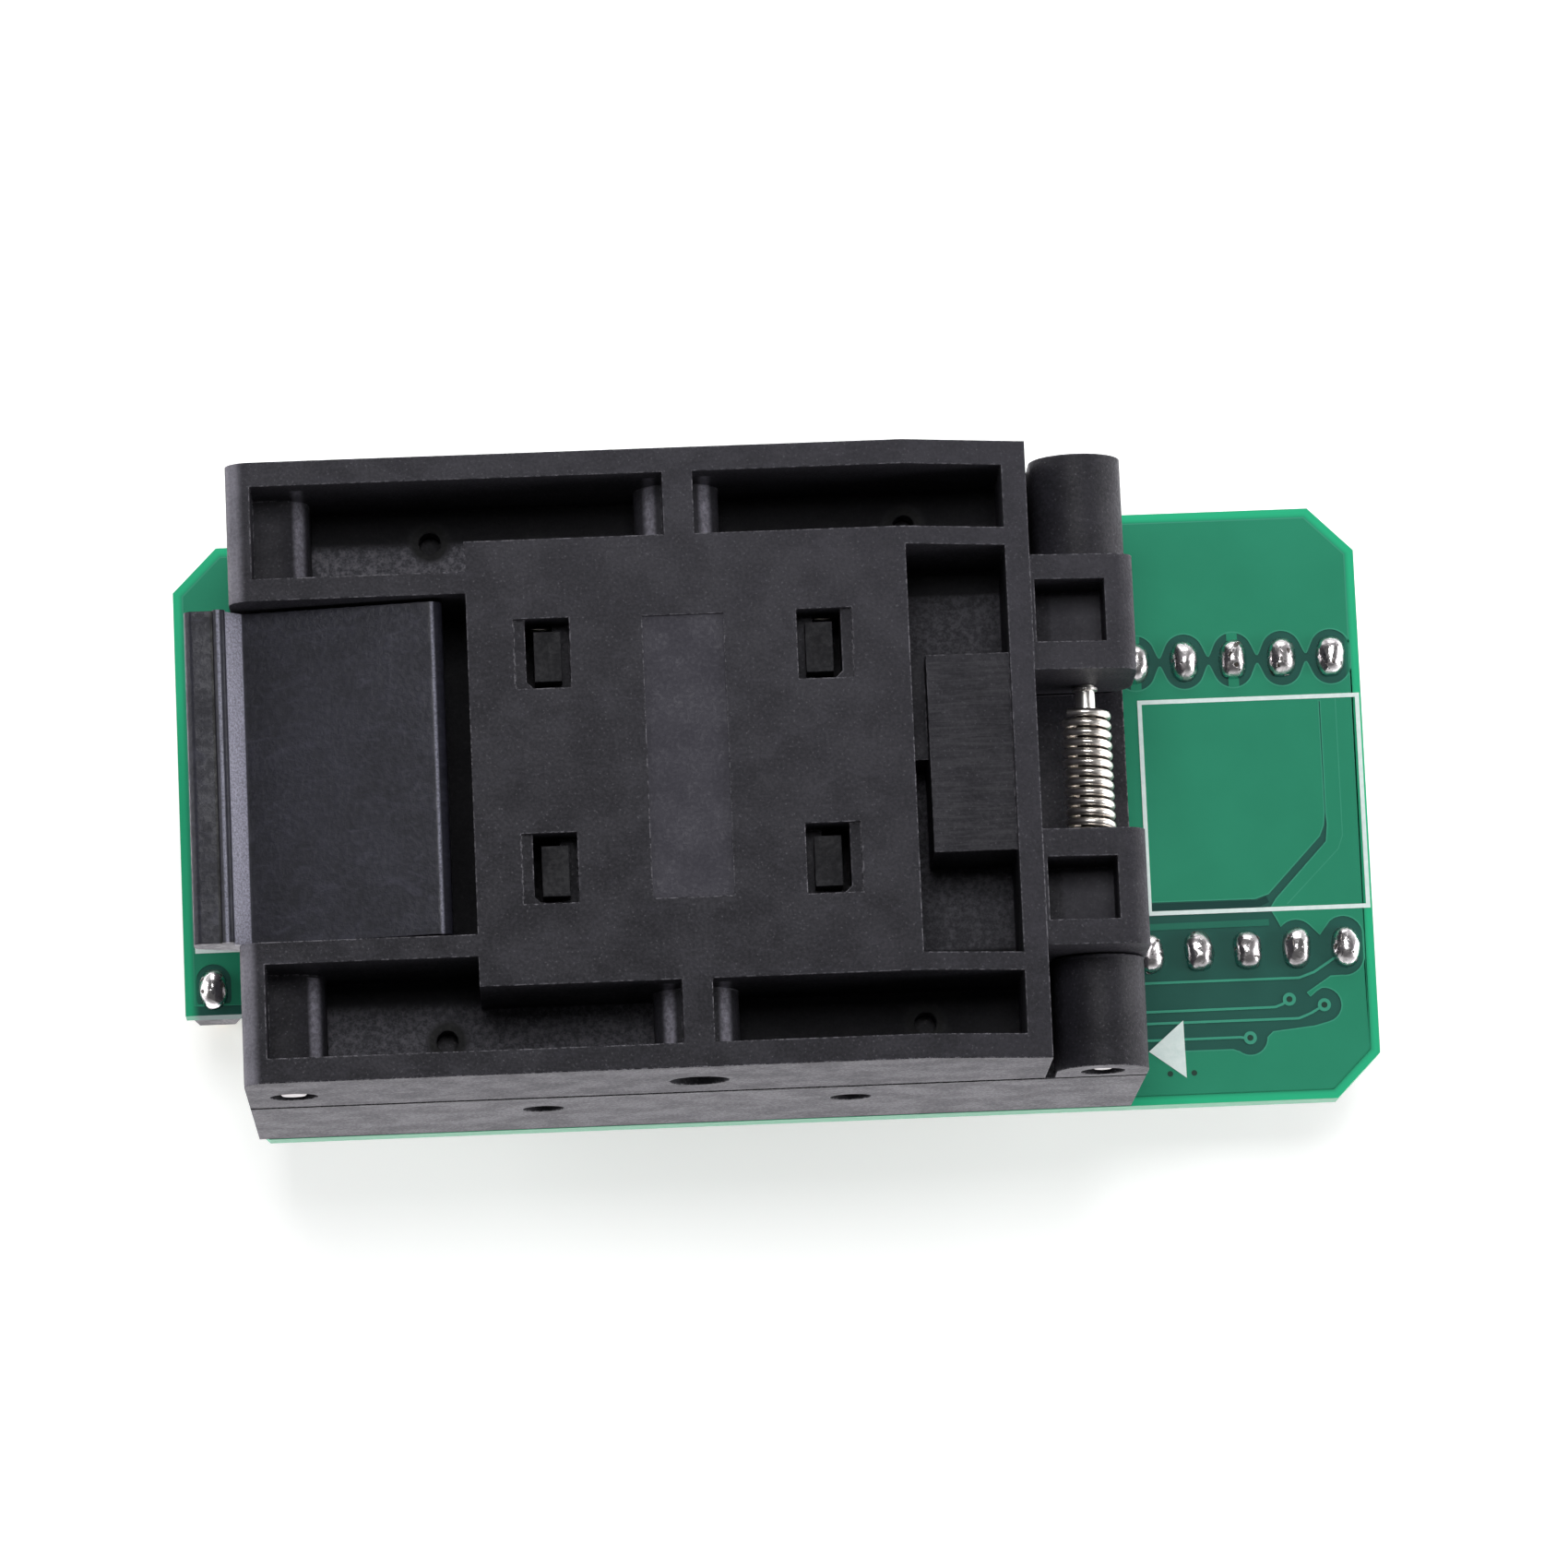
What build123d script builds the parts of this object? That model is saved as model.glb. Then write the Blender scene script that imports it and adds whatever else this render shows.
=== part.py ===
from build123d import *
from math import cos, pi, sin
import os

# Clamshell chip socket on a two-row pin adapter board.
# The part stands on its pin tips at Z = 0, with the middle of the board over the origin.
# The socket's hinge is to the east (+X) and its latch to the west.

os.makedirs("parts", exist_ok=True)

# Board
board_end_margin = 0.22
board_width = 31.0
board_thickness = 1.6
board_corner = 2.3
notch_length = 3.7
notch_row_gap = 1.33
notch_foot = 0.4

# Pin rows under the board
pin_pitch = 2.54
pins_per_row = 24
row_spacing = 15.24
pin_side = 0.64
pin_drop = 6.0
pin_fit = 0.02
strip_height = 2.54
strip_width = 2.54

# Solder joints on top of the board
joint_length = 1.8
joint_width = 1.25
joint_height = 0.8
joint_slope = 28
joint_shoulder = 0.5

# Socket base
socket_west = -27.1
socket_length = 44.8
socket_side_margin = 0.03
base_height = 12.0
base_floor = 1.6
joint_relief = 2.7
joint_relief_depth = 1.3
chip_x = -4.75
bay_length = 22.0
bay_width = 20.8
core_wall = 1.8
throat_length = 14.6
throat_width = 11.6
sill_drop = 3.4

# Hinge
hinge_x = 15.4
hinge_rise = 2.0
hinge_pin_radius = 0.5
hinge_pin_inset = 0.77
hinge_mouth_radius = 1.12
running_fit = 0.03
ear_inner = 4.0
ear_outer = 9.8
ear_side_gap = 0.1
ear_reach = 2.4
ear_round = 1.2
ear_drop = 0.4
ear_heel = 0.5
ear_root = 0.2
barrel_root = 1.0
ear_well_inner = 5.4
ear_well_width = 3.15
ear_well_depth = 4.0
ear_well_wall = 1.5

# Hinge spring
spring_wire = 0.36
spring_pitch = 0.505
spring_turns = 12.5
spring_coil_radius = 0.98
spring_lid_leg = 2.3
spring_leg_drop = 0.7
spring_end_gap = 0.1
spring_wall_gap = 0.4
spring_sides = 4
spring_runs = 8
sill_setback = 0.6

# Contact block held by two cross pins
block_recess = 2.8
block_fit = 0.05
guide_thickness = 0.8
guide_end_gap = 2.7
guide_side_gap = 0.6
cross_pin_radius = 0.7
cross_pin_drop = 4.15
cross_pin_offset = 7.75
cross_pin_inset = 0.62
cross_mouth_radius = 1.05
cross_mouth_depth = 1.0
contact_pitch = 0.5
contact_radius = 0.17
contact_stand = 0.3
contact_columns = 5
contact_rows = 20
contact_middle_columns = 3
contact_middle_rows = 7
contact_group_offset = 4.0

# Floating nest that centres the chip
chip_length = 13.0
chip_width = 11.5
chip_clearance = 0.1
nest_travel = 0.4
nest_thickness = 1.2
nest_side_gap = 0.2
nest_lead_in = 0.5
tab_width = 5.0
tab_reach = 0.55
tab_thickness = 0.7
tab_ledge = 0.4
tab_gap = 0.1
ledge_side_reach = 0.5
nest_spring_end_gap = 1.3
nest_spring_side_gap = 2.1
nest_spring_depth = 2.4
nest_shelf_gap = 0.15
nest_coil_radius = 0.8
nest_coil_wire = 0.28
nest_spring_turns = 2

# Lid
lid_length = 39.7
lid_height = 9.3
parting_gap = 0.1
rear_drop = 1.6
bend_from_rear = 6.2
front_round = 1.2
rim = 1.22
lid_floor = 1.4
arm_inner = 8.5
arm_wall = 1.1
plate_west = -15.4
plate_half_width = 11.1
roof_thickness = 2.8
cavity_west_wall = 1.1
cavity_east_wall = 1.1
cavity_side_wall = 1.1
rib_width = 1.5
boss_radius = 2.1
boss_rise = 4.2
pivot_hole_radius = 1.5
pivot_pin_radius = 0.75
pivot_pin_inset = 1.77
label_length = 14.1
label_width = 4.0
label_depth = 0.12
window_offset_x = 6.98
window_offset_y = 5.36
window_length = 2.75
window_width = 3.5
window_ledge = 0.85
window_ledge_drop = 2.2
window_sill = 0.56
window_sill_drop = 0.35
window_corner = 0.4
rear_half_width = 10.2
rear_block_gap = 0.85
rear_block_width = 9.9
rear_block_drop = 2.2
rear_shelf_drop = 4.0
rear_shelf_width = 5.6
vent_radius = 0.55
vent_west_x = -17.15
vent_east_x = 6.7
vent_wall_gap = 1.6
vent_sides = 12

# Latch
latch_pin_x = -24.8
latch_pin_rise = 3.9
latch_pin_radius = 0.7
latch_pin_inset = 0.67
latch_mouth_radius = 1.2
latch_mouth_depth = 0.9
latch_boss_radius = 1.7
latch_side_gap = 0.2
latch_core_radius = 2.1
latch_swing_gap = 1.0
latch_neck = 1.0
latch_plate_thickness = 2.2
latch_plate_gap = 1.2
latch_edge_round = 0.6
latch_top_drop = 0.6
latch_slope_drop = 1.75
latch_valley_x = -26.45
latch_bevel_width = 0.85
latch_bevel_rise = 0.9
lip_end_x = -29.35
lip_drop = 1.1
lip_thickness = 1.5
ridge_radius = 0.32
lip_round = 0.45
lip_root_drop = 2.9
hook_half_width = 5.3
hook_thickness = 1.1
hook_face_gap = 0.12
hook_nose = 0.75
hook_nose_height = 1.3
hook_lip_gap = 0.2
hook_engagement = 0.55
catch_height = 1.2
catch_under_drop = 3.9
catch_pocket_drop = 7.0
catch_side_gap = 0.3
catch_lead = 0.6
front_wall_gap = 0.05
front_wall_foot_gap = 0.3
front_foot_x = -25.8
latch_spring_x = -19.2
latch_spring_y = 4.6
latch_spring_cup = 5.5
latch_spring_turns = 4

# Pressure plate under the lid
plate_thickness = 1.8
plate_side_gap = 0.3
plate_travel = 0.6
plate_seat = 1.2
pad_length = 12.2
pad_width = 10.7
pad_drop = 2.2
spine_width = 4.2
spine_wall = 0.85
post_width = 0.85
post_depth = 2.5
barb_reach = 0.5
barb_height = 1.1
post_gap = 0.08
plate_spring_x = 7.0
plate_spring_y = 8.3
plate_spring_turns = 3

# Coil springs behind the moving pieces
coil_wire = 0.36
coil_radius = 1.1
coil_cup_gap = 0.15
coil_seat_gap = 0.05
runs_per_turn = 6
wire_sides = 3
wire_bulge = 1.25

# Levels
board_bottom = pin_drop + strip_height
board_top = board_bottom + board_thickness
base_top = board_top + base_height
lid_bottom = base_top + parting_gap
lid_top = lid_bottom + lid_height
lid_rear_top = lid_top - rear_drop
pocket_floor = lid_bottom + lid_floor
roof_under = lid_top - roof_thickness
hinge_z = base_top + hinge_rise
pivot_z = lid_bottom + boss_rise
latch_pin_z = lid_bottom + latch_pin_rise
cross_pin_z = base_top - cross_pin_drop
block_top = base_top - block_recess
guide_top = block_top + guide_thickness
nest_bottom = guide_top + nest_travel + tab_gap
latch_top = lid_top - latch_top_drop
valley_z = latch_top - latch_slope_drop
lip_top = lid_top - lip_drop
catch_under = base_top - catch_under_drop
plate_under = base_top + plate_seat
plate_top = plate_under + plate_thickness
ledge_z = lid_top - window_ledge_drop

# Places along and across the socket
board_length = pin_pitch * pins_per_row + 2 * board_end_margin
socket_width = board_width - 2 * socket_side_margin
row_y = row_spacing / 2
pin_hole = pin_side + 2 * pin_fit
socket_east = socket_west + socket_length
socket_mid = (socket_west + socket_east) / 2
socket_half = socket_width / 2
lid_east = socket_west + lid_length
bend_x = lid_east - bend_from_rear
plate_east = bend_x
arm_outer = arm_inner + arm_wall
pocket_outer = socket_half - rim
vent_y = pocket_outer - vent_wall_gap
hinge_pin_length = socket_width - 2 * hinge_pin_inset
cross_pin_length = socket_width - 2 * cross_pin_inset
pivot_pin_length = socket_width - 2 * pivot_pin_inset
latch_pin_length = socket_width - 2 * latch_pin_inset
barrel_radius = socket_east - hinge_x
cavity_west = plate_west + cavity_west_wall
cavity_east = plate_east - cavity_east_wall
cavity_half = plate_half_width - cavity_side_wall
bay_west = chip_x - bay_length / 2
bay_east = chip_x + bay_length / 2
bay_half = bay_width / 2
nest_spring_x = bay_length / 2 - nest_spring_end_gap
nest_spring_y = bay_half - nest_spring_side_gap
shelf_inner = nest_spring_x - nest_coil_radius - nest_coil_wire / 2 - nest_shelf_gap
hook_east = socket_west - hook_face_gap
hook_west = hook_east - hook_thickness
catch_half = hook_half_width + catch_side_gap
catch_wall_x = socket_west + hook_nose + catch_side_gap
nose_tip = hook_east + hook_nose
catch_edge = nose_tip - hook_engagement
cross_pin_places = [(chip_x + side * cross_pin_offset, cross_pin_z) for side in (-1, 1)]
vent_places = [(x, side * vent_y) for x in (vent_west_x, vent_east_x) for side in (-1, 1)]


def slab(x0, x1, y0, y1, mode=Mode.ADD):
    """Draw a rectangle from two corners in the sketch that is open."""
    with Locations(((x0 + x1) / 2, (y0 + y1) / 2)):
        Rectangle(x1 - x0, y1 - y0, mode=mode)


def across(y):
    """Give the upright plane at this Y, with its own X along X and its own Y up."""
    return Plane(origin=(0, y, 0), x_dir=(1, 0, 0), z_dir=(0, -1, 0))


def save(piece, name):
    """Name a finished piece and write its file."""
    piece.label = name
    export_step(piece, f"parts/{name}.step")


# Circuit board with cut corners and a notch for the programmer's socket lever
west_edge = -board_length / 2
east_edge = board_length / 2
north_edge = board_width / 2
notch_east = west_edge + notch_length
notch_north = -row_y - notch_row_gap
with BuildPart() as circuit_board:
    with BuildSketch(Plane.XY.offset(board_bottom)):
        with BuildLine():
            Polyline(
                (west_edge, notch_north),
                (west_edge, north_edge - board_corner),
                (west_edge + board_corner, north_edge),
                (east_edge - board_corner, north_edge),
                (east_edge, north_edge - board_corner),
                (east_edge, -north_edge + board_corner),
                (east_edge - board_corner, -north_edge),
                (notch_east + notch_foot, -north_edge),
                (notch_east, -north_edge + notch_foot),
                (notch_east, notch_north),
                close=True,
            )
        make_face()
        with GridLocations(pin_pitch, row_spacing, pins_per_row, 2):
            Rectangle(pin_hole, pin_hole, mode=Mode.SUBTRACT)
    extrude(amount=board_thickness)
save(circuit_board.part, "circuit_board")


# Header strips and their square pins
for side_name, strip_y in (("north", row_y), ("south", -row_y)):
    with BuildPart() as header_strip:
        with BuildSketch(Plane((0, strip_y, pin_drop))):
            Rectangle(pin_pitch * pins_per_row, strip_width)
            with GridLocations(pin_pitch, 0, pins_per_row, 1):
                Rectangle(pin_hole, pin_hole, mode=Mode.SUBTRACT)
        extrude(amount=strip_height)
    save(header_strip.part, f"header_strip_{side_name}")

    with BuildPart() as header_pins:
        with BuildSketch(Plane((0, strip_y, 0))):
            with GridLocations(pin_pitch, 0, pins_per_row, 1):
                Rectangle(pin_side, pin_side)
        extrude(amount=board_top)
    save(header_pins.part, f"header_pins_{side_name}")


# Solder joints, one mound over each pin end
with BuildPart() as solder_joints:
    with BuildSketch(Plane.XY.offset(board_top)):
        with GridLocations(pin_pitch, row_spacing, pins_per_row, 2):
            Polygon(
                (0, joint_length / 2),
                (-joint_width / 2, joint_shoulder),
                (-joint_width / 2, -joint_shoulder),
                (0, -joint_length / 2),
                (joint_width / 2, -joint_shoulder),
                (joint_width / 2, joint_shoulder),
            )
    extrude(amount=joint_height, taper=joint_slope)
save(solder_joints.part, "solder_joints")


# Socket base
with BuildPart() as socket_base:
    with BuildSketch(Plane.XY.offset(board_top)):
        with Locations((socket_mid, 0)):
            Rectangle(socket_length, socket_width)
    extrude(amount=base_height)

    # Hinge barrels with round tops
    barrel_mid = (ear_outer + ear_side_gap + socket_half) / 2
    barrel_half = (socket_half - ear_outer - ear_side_gap) / 2
    for side in (-1, 1):
        with BuildSketch(across(side * barrel_mid)):
            with BuildLine():
                Line((hinge_x + barrel_radius, hinge_z), (hinge_x + barrel_radius, base_top - barrel_root))
                Line(
                    (hinge_x + barrel_radius, base_top - barrel_root),
                    (hinge_x - barrel_radius, base_top - barrel_root),
                )
                Line((hinge_x - barrel_radius, base_top - barrel_root), (hinge_x - barrel_radius, hinge_z))
                RadiusArc(
                    (hinge_x - barrel_radius, hinge_z),
                    (hinge_x + barrel_radius, hinge_z),
                    barrel_radius,
                )
            make_face()
        extrude(amount=barrel_half, both=True)

    # Sill between the barrels, low enough for the lid's ears to turn over it
    with BuildSketch(Plane.XY.offset(base_top - sill_drop)):
        slab(
            lid_east - sill_setback,
            socket_east,
            -ear_outer - ear_side_gap,
            ear_outer + ear_side_gap,
        )
    extrude(amount=base_height, mode=Mode.SUBTRACT)

    # Bay for the contact block, and the throat through the floor for its tails
    with BuildSketch(Plane.XY.offset(board_top + base_floor)):
        with Locations((chip_x, 0)):
            Rectangle(bay_length, bay_width)
    extrude(amount=base_height, mode=Mode.SUBTRACT)
    with BuildSketch(Plane.XY.offset(board_top)):
        with Locations((chip_x, 0)):
            Rectangle(throat_length, throat_width)
    extrude(amount=base_height, mode=Mode.SUBTRACT)

    # Ledges over the nest's tabs
    ledge_under = nest_bottom + tab_thickness + tab_gap
    for side in (-1, 1):
        with BuildSketch(Plane((chip_x, side * (bay_half - tab_ledge / 2), ledge_under))):
            Rectangle(tab_width + 2 * ledge_side_reach, tab_ledge)
        extrude(amount=base_top - ledge_under)

    # Pockets that lighten the moulding west and east of the bay
    with BuildSketch(Plane.XY.offset(board_top + base_floor + joint_relief_depth)):
        for side in (-1, 1):
            slab(
                catch_wall_x + core_wall,
                bay_west - core_wall,
                side * core_wall,
                side * bay_half,
            )
        slab(
            bay_east + core_wall,
            lid_east - sill_setback - core_wall,
            -ear_outer,
            ear_outer,
        )
    extrude(amount=base_height, mode=Mode.SUBTRACT)

    # Catch in the west wall: a recess with a bar that the hook grips from below
    with BuildSketch(Plane.XY.offset(base_top - catch_pocket_drop)):
        slab(socket_west, catch_wall_x, -catch_half, catch_half)
    extrude(amount=base_height, mode=Mode.SUBTRACT)
    with BuildSketch(Plane.XY.offset(catch_under)):
        slab(catch_edge, catch_wall_x, -catch_half, catch_half)
    extrude(amount=catch_height)
    catch_corner = (catch_edge, 0, catch_under + catch_height)
    catch_lines = socket_base.edges().filter_by(Axis.Y)
    chamfer(catch_lines.sort_by_distance(catch_corner)[0], catch_lead)

    # Grooves over the two rows of solder joints
    with BuildSketch(Plane.XY.offset(board_top)):
        for side in (-1, 1):
            slab(
                socket_west,
                socket_east,
                side * row_y - joint_relief / 2,
                side * row_y + joint_relief / 2,
            )
    extrude(amount=joint_relief_depth, mode=Mode.SUBTRACT)

    # Cross bores for the block's pins, and the hinge bore, each with a wider mouth
    with BuildSketch(Plane.XZ):
        with Locations(*cross_pin_places):
            Circle(cross_pin_radius + running_fit)
        with Locations((hinge_x, hinge_z)):
            Circle(hinge_pin_radius + running_fit)
    extrude(amount=socket_half, both=True, mode=Mode.SUBTRACT)
    for side in (-1, 1):
        with BuildSketch(across(side * (socket_half - cross_mouth_depth / 2))):
            with Locations(*cross_pin_places):
                Circle(cross_mouth_radius)
            with Locations((hinge_x, hinge_z)):
                Circle(hinge_mouth_radius)
        extrude(amount=cross_mouth_depth / 2, both=True, mode=Mode.SUBTRACT)
save(socket_base.part, "socket_base")


# Contact block, with a tongue through the base's floor
with BuildPart() as contact_block:
    with BuildSketch(Plane.XY.offset(board_top + base_floor)):
        with Locations((chip_x, 0)):
            Rectangle(bay_length - 2 * block_fit, bay_width - 2 * block_fit)
    extrude(amount=block_top - board_top - base_floor)
    with BuildSketch(Plane.XY.offset(board_top)):
        with Locations((chip_x, 0)):
            Rectangle(throat_length - 2 * block_fit, throat_width - 2 * block_fit)
    extrude(amount=base_floor)
    with BuildSketch(Plane.XZ):
        with Locations(*cross_pin_places):
            Circle(cross_pin_radius + running_fit)
    extrude(amount=socket_half, both=True, mode=Mode.SUBTRACT)
    with BuildSketch(Plane.XY.offset(nest_bottom - nest_spring_depth)):
        for side in (-1, 1):
            slab(chip_x + side * shelf_inner, chip_x + side * bay_length / 2, -bay_half, bay_half)
    extrude(amount=nest_spring_depth, mode=Mode.SUBTRACT)
save(contact_block.part, "contact_block")

# Guide plate that lines the contacts up under the chip
with BuildPart() as guide_plate:
    with BuildSketch(Plane.XY.offset(block_top)):
        with Locations((chip_x, 0)):
            Rectangle(bay_length - 2 * guide_end_gap, bay_width - 2 * guide_side_gap)
    extrude(amount=guide_thickness)
save(guide_plate.part, "guide_plate")

# Contact tips in two outer fields and a middle one
with BuildPart() as contact_tips:
    with BuildSketch(Plane.XY.offset(guide_top)):
        with Locations((chip_x - contact_group_offset, 0), (chip_x + contact_group_offset, 0)):
            with GridLocations(contact_pitch, contact_pitch, contact_columns, contact_rows):
                RegularPolygon(contact_radius, 3)
        with Locations((chip_x, 0)):
            with GridLocations(contact_pitch, contact_pitch, contact_middle_columns, contact_middle_rows):
                RegularPolygon(contact_radius, 3)
    extrude(amount=contact_stand)
save(contact_tips.part, "contact_tips")

# Cross pins that hold the block down in the base
for side_name, pin_place in zip(("west", "east"), cross_pin_places):
    with BuildPart() as cross_pin:
        with BuildSketch(Plane.XZ):
            with Locations(pin_place):
                Circle(cross_pin_radius)
        extrude(amount=cross_pin_length / 2, both=True)
    save(cross_pin.part, f"block_pin_{side_name}")


def wind(points, wire, sides):
    """Sweep a wire of a few flat sides along a path of short straight runs."""
    with BuildPart() as winding:
        with BuildLine() as path:
            Polyline(*points)
        with BuildSketch(Plane(origin=points[0], z_dir=path.line % 0)):
            RegularPolygon(wire_bulge * wire / 2, sides)
        sweep(path=path.line, transition=Transition.RIGHT)
    return winding.part


def coil(foot, length, turns, radius, wire):
    """Wind one compression spring upward from the middle of its foot."""
    x, y, z = foot
    steps = turns * runs_per_turn
    low = z + wire / 2 + coil_seat_gap
    rise = length - wire - 2 * coil_seat_gap
    return wind(
        [
            (
                x + radius * cos(2 * pi * step / runs_per_turn),
                y + radius * sin(2 * pi * step / runs_per_turn),
                low + rise * step / steps,
            )
            for step in range(steps + 1)
        ],
        wire,
        wire_sides,
    )


# Nest that floats on four springs and centres the chip
nest_half_length = bay_length / 2 - nest_side_gap
nest_half_width = bay_half - tab_ledge - nest_side_gap
with BuildPart() as nest:
    with BuildSketch(Plane.XY.offset(nest_bottom)):
        with Locations((chip_x, 0)):
            Rectangle(2 * nest_half_length, 2 * nest_half_width)
            Rectangle(chip_length + 2 * chip_clearance, chip_width + 2 * chip_clearance, mode=Mode.SUBTRACT)
    extrude(amount=nest_thickness)
    rim_edges = nest.faces().sort_by(Axis.Z)[-1].inner_wires().edges()
    chamfer(rim_edges, nest_lead_in)
    with BuildSketch(Plane.XY.offset(nest_bottom)):
        for side in (-1, 1):
            slab(
                chip_x - tab_width / 2,
                chip_x + tab_width / 2,
                side * nest_half_width,
                side * (nest_half_width + tab_reach - nest_side_gap),
            )
    extrude(amount=tab_thickness)
save(nest.part, "nest")

nest_springs = [
    coil(
        (chip_x + x_side * nest_spring_x, y_side * nest_spring_y, nest_bottom - nest_spring_depth),
        nest_spring_depth,
        nest_spring_turns,
        nest_coil_radius,
        nest_coil_wire,
    )
    for x_side in (-1, 1)
    for y_side in (-1, 1)
]
save(Compound(children=nest_springs), "nest_springs")


# Hinge pin
with BuildPart() as hinge_pin:
    with BuildSketch(Plane.XZ):
        with Locations((hinge_x, hinge_z)):
            Circle(hinge_pin_radius)
    extrude(amount=hinge_pin_length / 2, both=True)
save(hinge_pin.part, "hinge_pin")

# Torsion spring wound round the hinge pin, against the south ear.
# Its north leg lies along the lid's rear wall and its south leg reaches down to the base.
spring_south = -ear_inner + spring_wire / 2 + spring_end_gap
spring_steps = int(spring_turns * spring_runs)
spring_north = spring_south + spring_turns * spring_pitch
lid_leg = (hinge_x - spring_lid_leg, spring_north, hinge_z + spring_coil_radius)
base_leg = (lid_east - sill_setback + spring_wall_gap, spring_south, base_top - spring_leg_drop)
spring_points = [
    (
        hinge_x + spring_coil_radius * sin(2 * pi * step / spring_runs),
        spring_north - spring_pitch * step / spring_runs,
        hinge_z + spring_coil_radius * cos(2 * pi * step / spring_runs),
    )
    for step in range(spring_steps + 1)
]
save(wind([lid_leg, *spring_points, base_leg], spring_wire, spring_sides), "hinge_spring")


# Lid
with BuildPart() as lid:
    # Side view, with the rounded front and the sloping rear
    with BuildSketch(Plane.XZ):
        with BuildLine():
            Polyline(
                (socket_west, lid_bottom),
                (lid_east, lid_bottom),
                (lid_east, lid_rear_top),
                (bend_x, lid_top),
                (socket_west, lid_top),
                close=True,
            )
        make_face()
        front_corner = vertices().sort_by(Axis.X)[:2].sort_by(Axis.Y)[-1]
        fillet(front_corner, front_round)
    extrude(amount=socket_half, both=True)

    # Ears that reach back over the hinge pin
    ear_mid = (ear_inner + ear_outer) / 2
    ear_end = hinge_x + ear_reach
    ear_top = lid_rear_top - ear_drop
    for side in (-1, 1):
        with BuildSketch(across(side * ear_mid)):
            with BuildLine():
                Line((hinge_x, hinge_z - ear_reach), (lid_east + ear_heel, hinge_z - ear_reach))
                Line((lid_east + ear_heel, hinge_z - ear_reach), (lid_east - ear_root, lid_bottom))
                Line((lid_east - ear_root, lid_bottom), (lid_east - ear_root, ear_top))
                Line((lid_east - ear_root, ear_top), (ear_end - ear_round, ear_top - ear_drop))
                RadiusArc(
                    (ear_end - ear_round, ear_top - ear_drop),
                    (ear_end, ear_top - ear_drop - ear_round),
                    ear_round,
                )
                Line((ear_end, ear_top - ear_drop - ear_round), (ear_end, hinge_z))
                RadiusArc((ear_end, hinge_z), (hinge_x, hinge_z - ear_reach), ear_reach)
            make_face()
        extrude(amount=(ear_outer - ear_inner) / 2, both=True)

    # Wells in the ears
    with BuildSketch(Plane.XY.offset(ear_top - ear_well_depth)):
        for side in (-1, 1):
            slab(
                lid_east + ear_root,
                ear_end - ear_well_wall,
                side * ear_well_inner,
                side * (ear_well_inner + ear_well_width),
            )
    extrude(amount=lid_height, mode=Mode.SUBTRACT)

    # Side pockets, with the thick centre plate left between them
    rib_west = chip_x - rib_width / 2
    rib_east = chip_x + rib_width / 2
    pocket_west = socket_west + rim
    pocket_east = lid_east - rim
    with BuildSketch(Plane.XY.offset(pocket_floor)):
        for side in (-1, 1):
            slab(pocket_west, rib_west, side * plate_half_width, side * pocket_outer)
            slab(pocket_west, plate_west, side * arm_outer, side * plate_half_width)
            slab(rib_east, pocket_east, side * plate_half_width, side * pocket_outer)
    extrude(amount=lid_height, mode=Mode.SUBTRACT)

    # Slot for the latch, open at the front, with a floor under its springs
    with BuildSketch(Plane.XY.offset(pocket_floor)):
        slab(socket_west, plate_west, -arm_inner, arm_inner)
    extrude(amount=lid_height, mode=Mode.SUBTRACT)
    with BuildSketch(Plane.XY.offset(lid_bottom)):
        slab(socket_west, latch_pin_x + latch_core_radius + latch_swing_gap, -arm_inner, arm_inner)
    extrude(amount=lid_height, mode=Mode.SUBTRACT)

    # Recess between the centre plate and the rear wall, round a raised block
    with BuildSketch(Plane.XY.offset(pocket_floor)):
        slab(plate_east, pocket_east, -rear_half_width, rear_half_width)
    extrude(amount=lid_height, mode=Mode.SUBTRACT)
    with BuildSketch(Plane.XY.offset(pocket_floor)):
        slab(
            plate_east + rear_block_gap,
            pocket_east,
            -rear_block_width / 2,
            rear_block_width / 2,
        )
    extrude(amount=lid_top - rear_block_drop - pocket_floor)
    with BuildSketch(Plane.XY.offset(pocket_floor)):
        slab(
            plate_east,
            plate_east + rear_block_gap,
            0,
            rear_shelf_width,
        )
    extrude(amount=lid_top - rear_shelf_drop - pocket_floor)

    # Bosses in the pockets for the pivot pin and the latch pin
    boss_mid = (plate_half_width + pocket_outer) / 2
    latch_boss_mid = (arm_outer + pocket_outer) / 2
    for side in (-1, 1):
        with BuildSketch(across(side * boss_mid)):
            with Locations((chip_x, pivot_z)):
                Circle(boss_radius)
            slab(chip_x - boss_radius, chip_x + boss_radius, pocket_floor, pivot_z)
        extrude(amount=(pocket_outer - plate_half_width) / 2, both=True)
        with BuildSketch(across(side * latch_boss_mid)):
            with Locations((latch_pin_x, latch_pin_z)):
                Circle(latch_boss_radius)
            slab(pocket_west, latch_pin_x + latch_boss_radius, pocket_floor, latch_pin_z)
            slab(pocket_west, latch_pin_x, latch_pin_z, latch_pin_z + latch_boss_radius)
        extrude(amount=(pocket_outer - arm_outer) / 2, both=True)

    # Cavity under the centre plate for the pressure plate
    with BuildSketch(Plane.XY.offset(lid_bottom)):
        slab(cavity_west, cavity_east, -cavity_half, cavity_half)
    extrude(amount=roof_under - lid_bottom, mode=Mode.SUBTRACT)

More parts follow.
